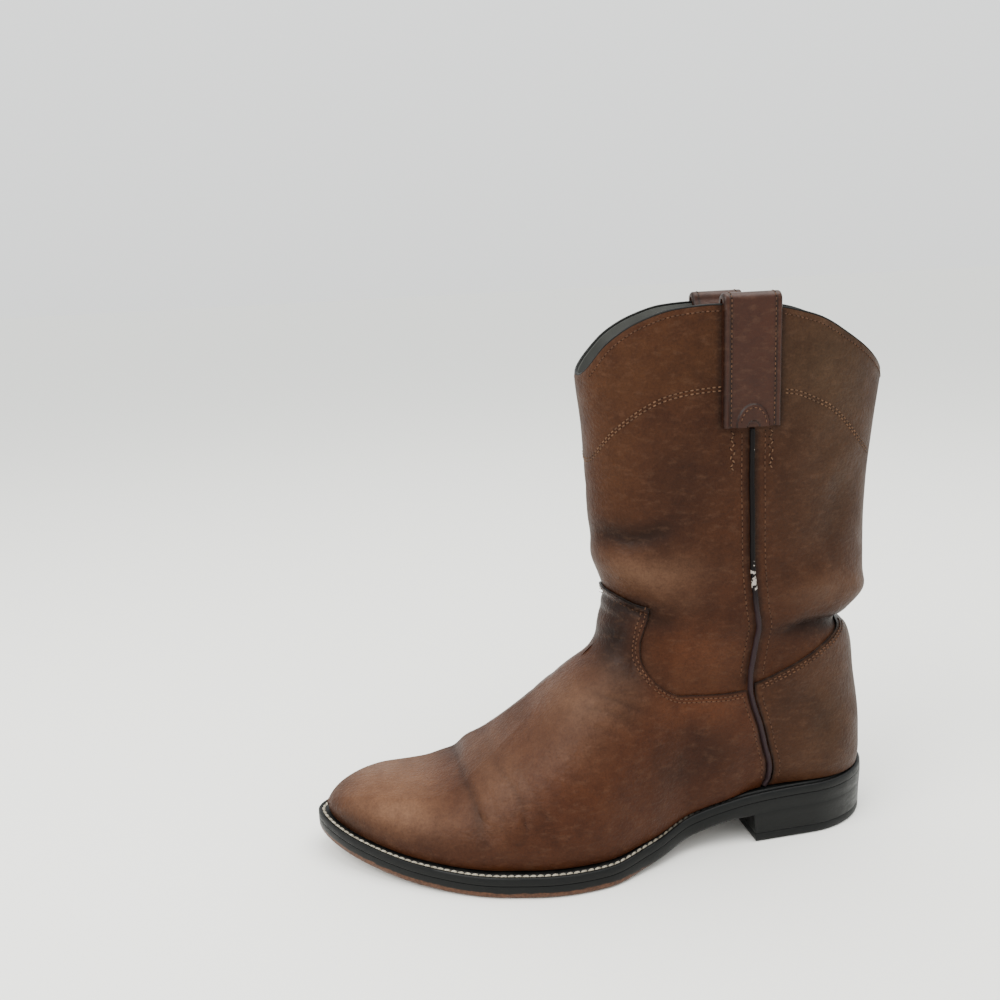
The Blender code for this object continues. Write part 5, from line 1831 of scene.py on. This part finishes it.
def build_stitching(stitch, thread_colours):
    """Every seam's thread, one small rounded bar for each stitch, and a needle hole of painted shade at each
    end.

    The stitch size scales the pitch of every row but the straps'. Each kind of seam has its own thread.
    """
    template = stitch_template()
    disc = hole_template()
    threads = {name: [] for name in thread_colours}
    holes = []
    for kind, line, side, pitch, height in seam_rows():
        step = pitch * stitch / PLAIN_STITCH
        centre, along, across, out = seam_line(line, side, step, height)
        thick = THREAD_HALF * (1.1 if kind == "yoke" else 1.0)
        threads[kind].append(place_many(template, centre, along, across, out, step * 0.36, thick, 0.08))
        ends = centre + along * (step / 2)
        holes.append(place_many(disc, ends, along, across, out, 0.4, 0.4, 0.05))
    centres, along, across, out = strap_stitches()
    for part in range(len(centres)):
        placed = (centres[part], along[part], across[part], out[part])
        threads["edge"].append(place_many(template, *placed, 0.85, THREAD_HALF * 0.9, 0.06))
        ends = centres[part] + along[part] * 1.15
        holes.append(place_many(disc, ends, *placed[1:], 0.32, 0.32, 0.05))
    for kind, parts in threads.items():
        add_copies(f"{kind}_thread", parts, waxed_thread(f"{kind}_thread", thread_colours[kind]))
    # Painted shade: a dark dome stands for the shaded inside of each needle hole
    dark, _, shader = nodes_for("needle_holes", 0.8, 0.1)
    shader.inputs["Base Color"].default_value = (*srgb((20, 10, 6)), 1.0)
    add_copies("needle_holes", holes, dark)


def hole_template(round_steps=7):
    """A needle hole's dark mouth: a low dome of painted shade for the shaded inside of the hole."""
    turn = np.arange(round_steps) * 2 * math.pi / round_steps
    rings = np.vstack(
        [
            np.stack([np.cos(turn), np.sin(turn), np.full(round_steps, -0.5)], -1),
            np.stack([0.6 * np.cos(turn), 0.6 * np.sin(turn), np.full(round_steps, 0.12)], -1),
        ]
    )
    faces = quads(2, round_steps, True)
    caps = [list(range(round_steps))[::-1], list(range(round_steps, 2 * round_steps))]
    return rings, faces, caps


def add_copies(name, parts, look, tint=None):
    """One mesh from many placed copies."""
    vertices, faces, start = [], [], 0
    for points, sides, caps in parts:
        vertices.append(points)
        faces += (sides + start).tolist()
        faces += (caps + start).tolist()
        start += len(points)
    made = add_mesh(name, np.vstack(vertices), faces, look, tint, 70.0)
    return made


def strap_stitches():
    """Stitches along both edges of each strap's outer leg and round the half-moon patch at its foot."""
    out_parts = ([], [], [], [])
    for side in (OUTER, INNER):
        for edge in (-1, 1):
            across = np.array([edge * (LIP_PLACE - STRAP_ROW_INSET)])
            line = strap_surface(side, STRAP_THICK / 2, across)[: STRAP_LEG_STEPS + 12, 0]
            lower = strap_surface(side, STRAP_THICK / 2 - 1.0, across)[: STRAP_LEG_STEPS + 12, 0]
            append_line(out_parts, line, line - lower)
        angle = np.linspace(0.0, math.pi, 60)
        y = strap_middle(side) + (PATCH_HALF - 2.2) * np.cos(angle)
        z = STRAP_BOTTOM + 1.0 + (PATCH_RISE - 3.2) * np.sin(angle)
        x = middle(y, z) + side * (half_width(y, z, side) + GAP + STRAP_THICK + PATCH_THICK)
        outward = np.tile((float(side), 0.0, 0.0), (len(angle), 1))
        append_line(out_parts, np.stack([x, y, z], -1), outward)
    return out_parts


def append_line(parts, line, out):
    """Adds evenly spaced places along a line in space to the four lists of directions."""
    out = out / np.linalg.norm(out, axis=1)[:, None]
    length = np.concatenate([[0.0], np.cumsum(np.linalg.norm(np.diff(line, axis=0), axis=1))])
    places = np.arange(1.4, length[-1] - 0.8, STRAP_PITCH)

    def at(values, where):
        return np.stack([np.interp(where, length, values[:, i]) for i in range(3)], -1)

    along = at(line, places + 0.4) - at(line, places - 0.4)
    along /= np.linalg.norm(along, axis=1)[:, None]
    normal = at(out, places)
    normal /= np.linalg.norm(normal, axis=1)[:, None]
    parts[0].append(at(line, places))
    parts[1].append(along)
    parts[2].append(np.cross(normal, along))
    parts[3].append(normal)


def welt_rope():
    """Thick waxed thread, dirty in its hollows, coloured by the piece's tint."""
    look, tree, shader = nodes_for("welt_thread", 0.8, 0.2)
    tint = node(tree, "ShaderNodeAttribute", attribute_name="tint").outputs["Color"]
    dirt = noise(tree, 240.0, 4.0, 0.7)
    twist = noise(tree, 1800.0, 2.0, 0.5)
    made = mixed(tree, spread(tree, dirt, 0.4, 0.66, 0.0, 0.75), tint, (0.3, 0.27, 0.23), "MULTIPLY")
    tree.links.new(made, shader.inputs["Base Color"])
    bumped(tree, shader, twist, 0.5, 0.0003)
    return look


def build_welt_stitches(thread):
    """The welt's thick pale thread: slanted beads in its channel round the forefoot, darker to the waist."""
    flat = even_loop(sole_loop(WELT_THREAD_STEPS, WELT_THREAD_INSET))
    z = under(flat[:, 1]) + OUTSOLE_THICK + WELT_THICK - WELT_THREAD_SUNK
    ring = np.column_stack([flat, z])
    step = np.roll(ring, -1, axis=0) - np.roll(ring, 1, axis=0)
    step /= np.linalg.norm(step, axis=1)[:, None]
    length = np.concatenate([[0.0], np.cumsum(np.linalg.norm(np.diff(ring, axis=0), axis=1))])
    places = np.arange(0.0, length[-1], WELT_PITCH)
    centre = np.stack([np.interp(places, length, ring[:, i]) for i in range(3)], -1)
    along = np.stack([np.interp(places, length, step[:, i]) for i in range(3)], -1)
    keep = centre[:, 1] < WELT_THREAD_END
    centre, along = centre[keep], along[keep]
    out = np.tile(np.array([0.0, 0.0, 1.0]), (len(centre), 1))
    across = np.cross(out, along)
    across /= np.linalg.norm(across, axis=1)[:, None]
    out = np.cross(along, across)
    slant = along * 0.96 + across * 0.26
    slant /= np.linalg.norm(slant, axis=1)[:, None]
    sideways = np.cross(out, slant)
    template = stitch_template(7, 8)
    length = WELT_PITCH * 0.58
    part = place_many(template, centre, slant, sideways, out, length, WELT_THREAD_HALF, 0.15)
    fade = smooth_step((centre[:, 1] - 4.0) / 44.0)[:, None]
    tint = np.asarray(thread, float) * (1 - fade) + srgb(WELT_THREAD_DARK) * fade
    tint = np.repeat(tint, len(part[0]) // len(centre), axis=0)
    return add_copies("welt_thread", [part], welt_rope(), tint)


def build_camera():
    """The camera of the photograph, turned a little about its own line of sight."""
    turn, tip, roll = (math.radians(v) for v in (CAMERA_AZIMUTH, CAMERA_PITCH, CAMERA_ROLL))
    forward = np.array([-math.sin(turn) * math.cos(tip), math.cos(turn) * math.cos(tip), -math.sin(tip)])
    right = np.cross(forward, (0.0, 0.0, 1.0))
    right /= np.linalg.norm(right)
    up = np.cross(right, forward)
    right, up = right * math.cos(roll) + up * math.sin(roll), up * math.cos(roll) - right * math.sin(roll)
    data = bpy.data.cameras.new("photo_camera")
    data.sensor_width = FILM_WIDTH
    data.lens = FILM_WIDTH * FOCAL_PIXELS / PHOTO_PIXELS
    camera = bpy.data.objects.new("photo_camera", data)
    place = (CAMERA_PLACE - PLACED) * MM
    matrix = np.eye(4)
    matrix[:3, 0], matrix[:3, 1], matrix[:3, 2], matrix[:3, 3] = right, up, -forward, place
    camera.matrix_world = Matrix(matrix.tolist())
    bpy.context.scene.collection.objects.link(camera)
    bpy.context.scene.camera = camera


def add_light(name, place, size, power, colour):
    """A square soft light that faces the boot."""
    data = bpy.data.lights.new(name, "AREA")
    data.size = size
    data.energy = power
    data.color = colour
    light = bpy.data.objects.new(name, data)
    light.location = place
    direction = np.array(LIGHT_TARGET) - np.array(place)
    light.rotation_euler = Vector(direction).to_track_quat("-Z", "Y").to_euler()
    bpy.context.scene.collection.objects.link(light)


def build_stage():
    """A plain pale floor, two soft lights above, and a pale surrounding.

    The surrounding is brighter overhead than at the horizon, by as much as makes the far floor match it.
    """
    half = FLOOR_HALF
    mesh = bpy.data.meshes.new("floor")
    corners = [(-half, -half, 0.0), (half, -half, 0.0), (half, half, 0.0), (-half, half, 0.0)]
    mesh.from_pydata(corners, [], [(0, 1, 2, 3)])
    look, _, shader = nodes_for("pale_floor", 0.9, 0.1)
    shader.inputs["Base Color"].default_value = (*FLOOR_COLOUR, 1.0)
    mesh.materials.append(look)
    floor = bpy.data.objects.new("floor", mesh)
    bpy.context.scene.collection.objects.link(floor)
    world = bpy.data.worlds.new("pale_room")
    world.use_nodes = True
    tree = world.node_tree
    place = node(tree, "ShaderNodeTexCoord")
    split = node(tree, "ShaderNodeSeparateXYZ")
    tree.links.new(place.outputs["Generated"], split.inputs["Vector"])
    bright = spread(tree, split.outputs["Z"], 0.0, 1.0, WORLD_HORIZON, WORLD_HORIZON * WORLD_RISE)
    back = tree.nodes["Background"]
    back.inputs["Color"].default_value = (*WORLD_COLOUR, 1.0)
    tree.links.new(bright, back.inputs["Strength"])
    bpy.context.scene.world = world
    for light in rows_of(LIGHTS, LIGHT_COLUMNS):
        add_light(**light)


def colour_property(name, description, colour):
    """A colour that a user can change, given as a screen colour."""
    default = tuple(float(level) for level in srgb(colour))
    return bpy.props.FloatVectorProperty(
        name=name, description=description, default=default, subtype="COLOR", size=3, min=0.0, max=1.0
    )


class BootColours(bpy.types.PropertyGroup):
    """Colours that a user would change."""

    shaft: colour_property("Shaft", "Colour of the shaft's leather", (54, 28, 12))
    vamp: colour_property("Vamp", "Colour of the vamp's leather", (58, 30, 14))
    counter: colour_property("Counter", "Colour of the counter's leather", (54, 30, 14))
    strap: colour_property("Straps", "Colour of the pull straps' leather", (48, 24, 14))
    piping: colour_property("Piping", "Colour of the side seams' piping", (10, 7, 7))
    yoke_thread: colour_property("Yoke thread", "Colour of the curved rows' thread", (94, 68, 48))
    edge_thread: colour_property("Edge thread", "Colour of the vamp's and counter's thread", (84, 56, 37))
    seam_thread: colour_property("Seam thread", "Colour of the side seams' and collar's thread", (74, 48, 31))
    welt_thread: colour_property("Welt thread", "Colour of the welt's thread", (150, 144, 130))


class BootSizes(bpy.types.PropertyGroup):
    """Sizes that a user would change."""

    stitch: bpy.props.FloatProperty(
        name="Stitch",
        description="Pitch of the seams' stitches",
        default=PLAIN_STITCH * MM,
        unit="LENGTH",
        min=1.5 * MM,
    )


class BOOT_OT_stage(bpy.types.Operator):
    """Adds the floor, lights, surrounding and camera"""

    bl_idname = "boot.stage"
    bl_label = "Stage"

    def execute(self, context):
        build_stage()
        build_camera()
        return {"FINISHED"}


class BOOT_OT_shaft(bpy.types.Operator):
    """Builds the shaft's wall and its lining"""

    bl_idname = "boot.shaft"
    bl_label = "Shaft and lining"

    def execute(self, context):
        build_shaft(context.scene.boot_colours.shaft)
        build_lining()
        return {"FINISHED"}


class BOOT_OT_layers(bpy.types.Operator):
    """Builds the vamp and the counter"""

    bl_idname = "boot.layers"
    bl_label = "Vamp and counter"

    def execute(self, context):
        build_vamp(context.scene.boot_colours.vamp)
        build_counter(context.scene.boot_colours.counter)
        return {"FINISHED"}


class BOOT_OT_trim(bpy.types.Operator):
    """Builds the pipings, the pull straps and the collar's edge"""

    bl_idname = "boot.trim"
    bl_label = "Pipings, straps and collar edge"

    def execute(self, context):
        build_pipings(context.scene.boot_colours.piping)
        build_straps(context.scene.boot_colours.strap)
        build_collar_edge()
        return {"FINISHED"}


class BOOT_OT_sole(bpy.types.Operator):
    """Builds the outsole, welt, heel and insole"""

    bl_idname = "boot.sole"
    bl_label = "Sole, welt and heel"

    def execute(self, context):
        build_sole()
        build_insole()
        return {"FINISHED"}


class BOOT_OT_stitching(bpy.types.Operator):
    """Builds every seam's stitches"""

    bl_idname = "boot.stitching"
    bl_label = "Stitching"

    def execute(self, context):
        colours = context.scene.boot_colours
        threads = {"yoke": colours.yoke_thread, "edge": colours.edge_thread, "seam": colours.seam_thread}
        build_stitching(context.scene.boot_sizes.stitch / MM, threads)
        build_welt_stitches(colours.welt_thread)
        return {"FINISHED"}


class BOOT_PT_panel(bpy.types.Panel):
    """Lists the boot's operators"""

    bl_label = "Boot"
    bl_idname = "BOOT_PT_panel"
    bl_space_type = "VIEW_3D"
    bl_region_type = "UI"
    bl_category = "Boot"

    def draw(self, context):
        for operator in OPERATORS:
            self.layout.operator(operator.bl_idname)
        self.layout.prop(context.scene.boot_sizes, "stitch")
        for name in BootColours.__annotations__:
            self.layout.prop(context.scene.boot_colours, name)


OPERATORS = (BOOT_OT_stage, BOOT_OT_shaft, BOOT_OT_layers, BOOT_OT_trim, BOOT_OT_sole, BOOT_OT_stitching)
CLASSES = (BootColours, BootSizes, *OPERATORS, BOOT_PT_panel)


def register():
    """Adds the settings, the operators and the panel to Blender."""
    for each in CLASSES:
        bpy.utils.register_class(each)
    bpy.types.Scene.boot_colours = bpy.props.PointerProperty(type=BootColours)
    bpy.types.Scene.boot_sizes = bpy.props.PointerProperty(type=BootSizes)


def unregister():
    """Takes the settings, the operators and the panel away again."""
    del bpy.types.Scene.boot_sizes
    del bpy.types.Scene.boot_colours
    for each in reversed(CLASSES):
        bpy.utils.unregister_class(each)


def main():
    """Builds the whole boot."""
    register()
    for name in ("stage", "shaft", "layers", "trim", "sole", "stitching"):
        getattr(bpy.ops.boot, name)()


if __name__ == "__main__":
    main()
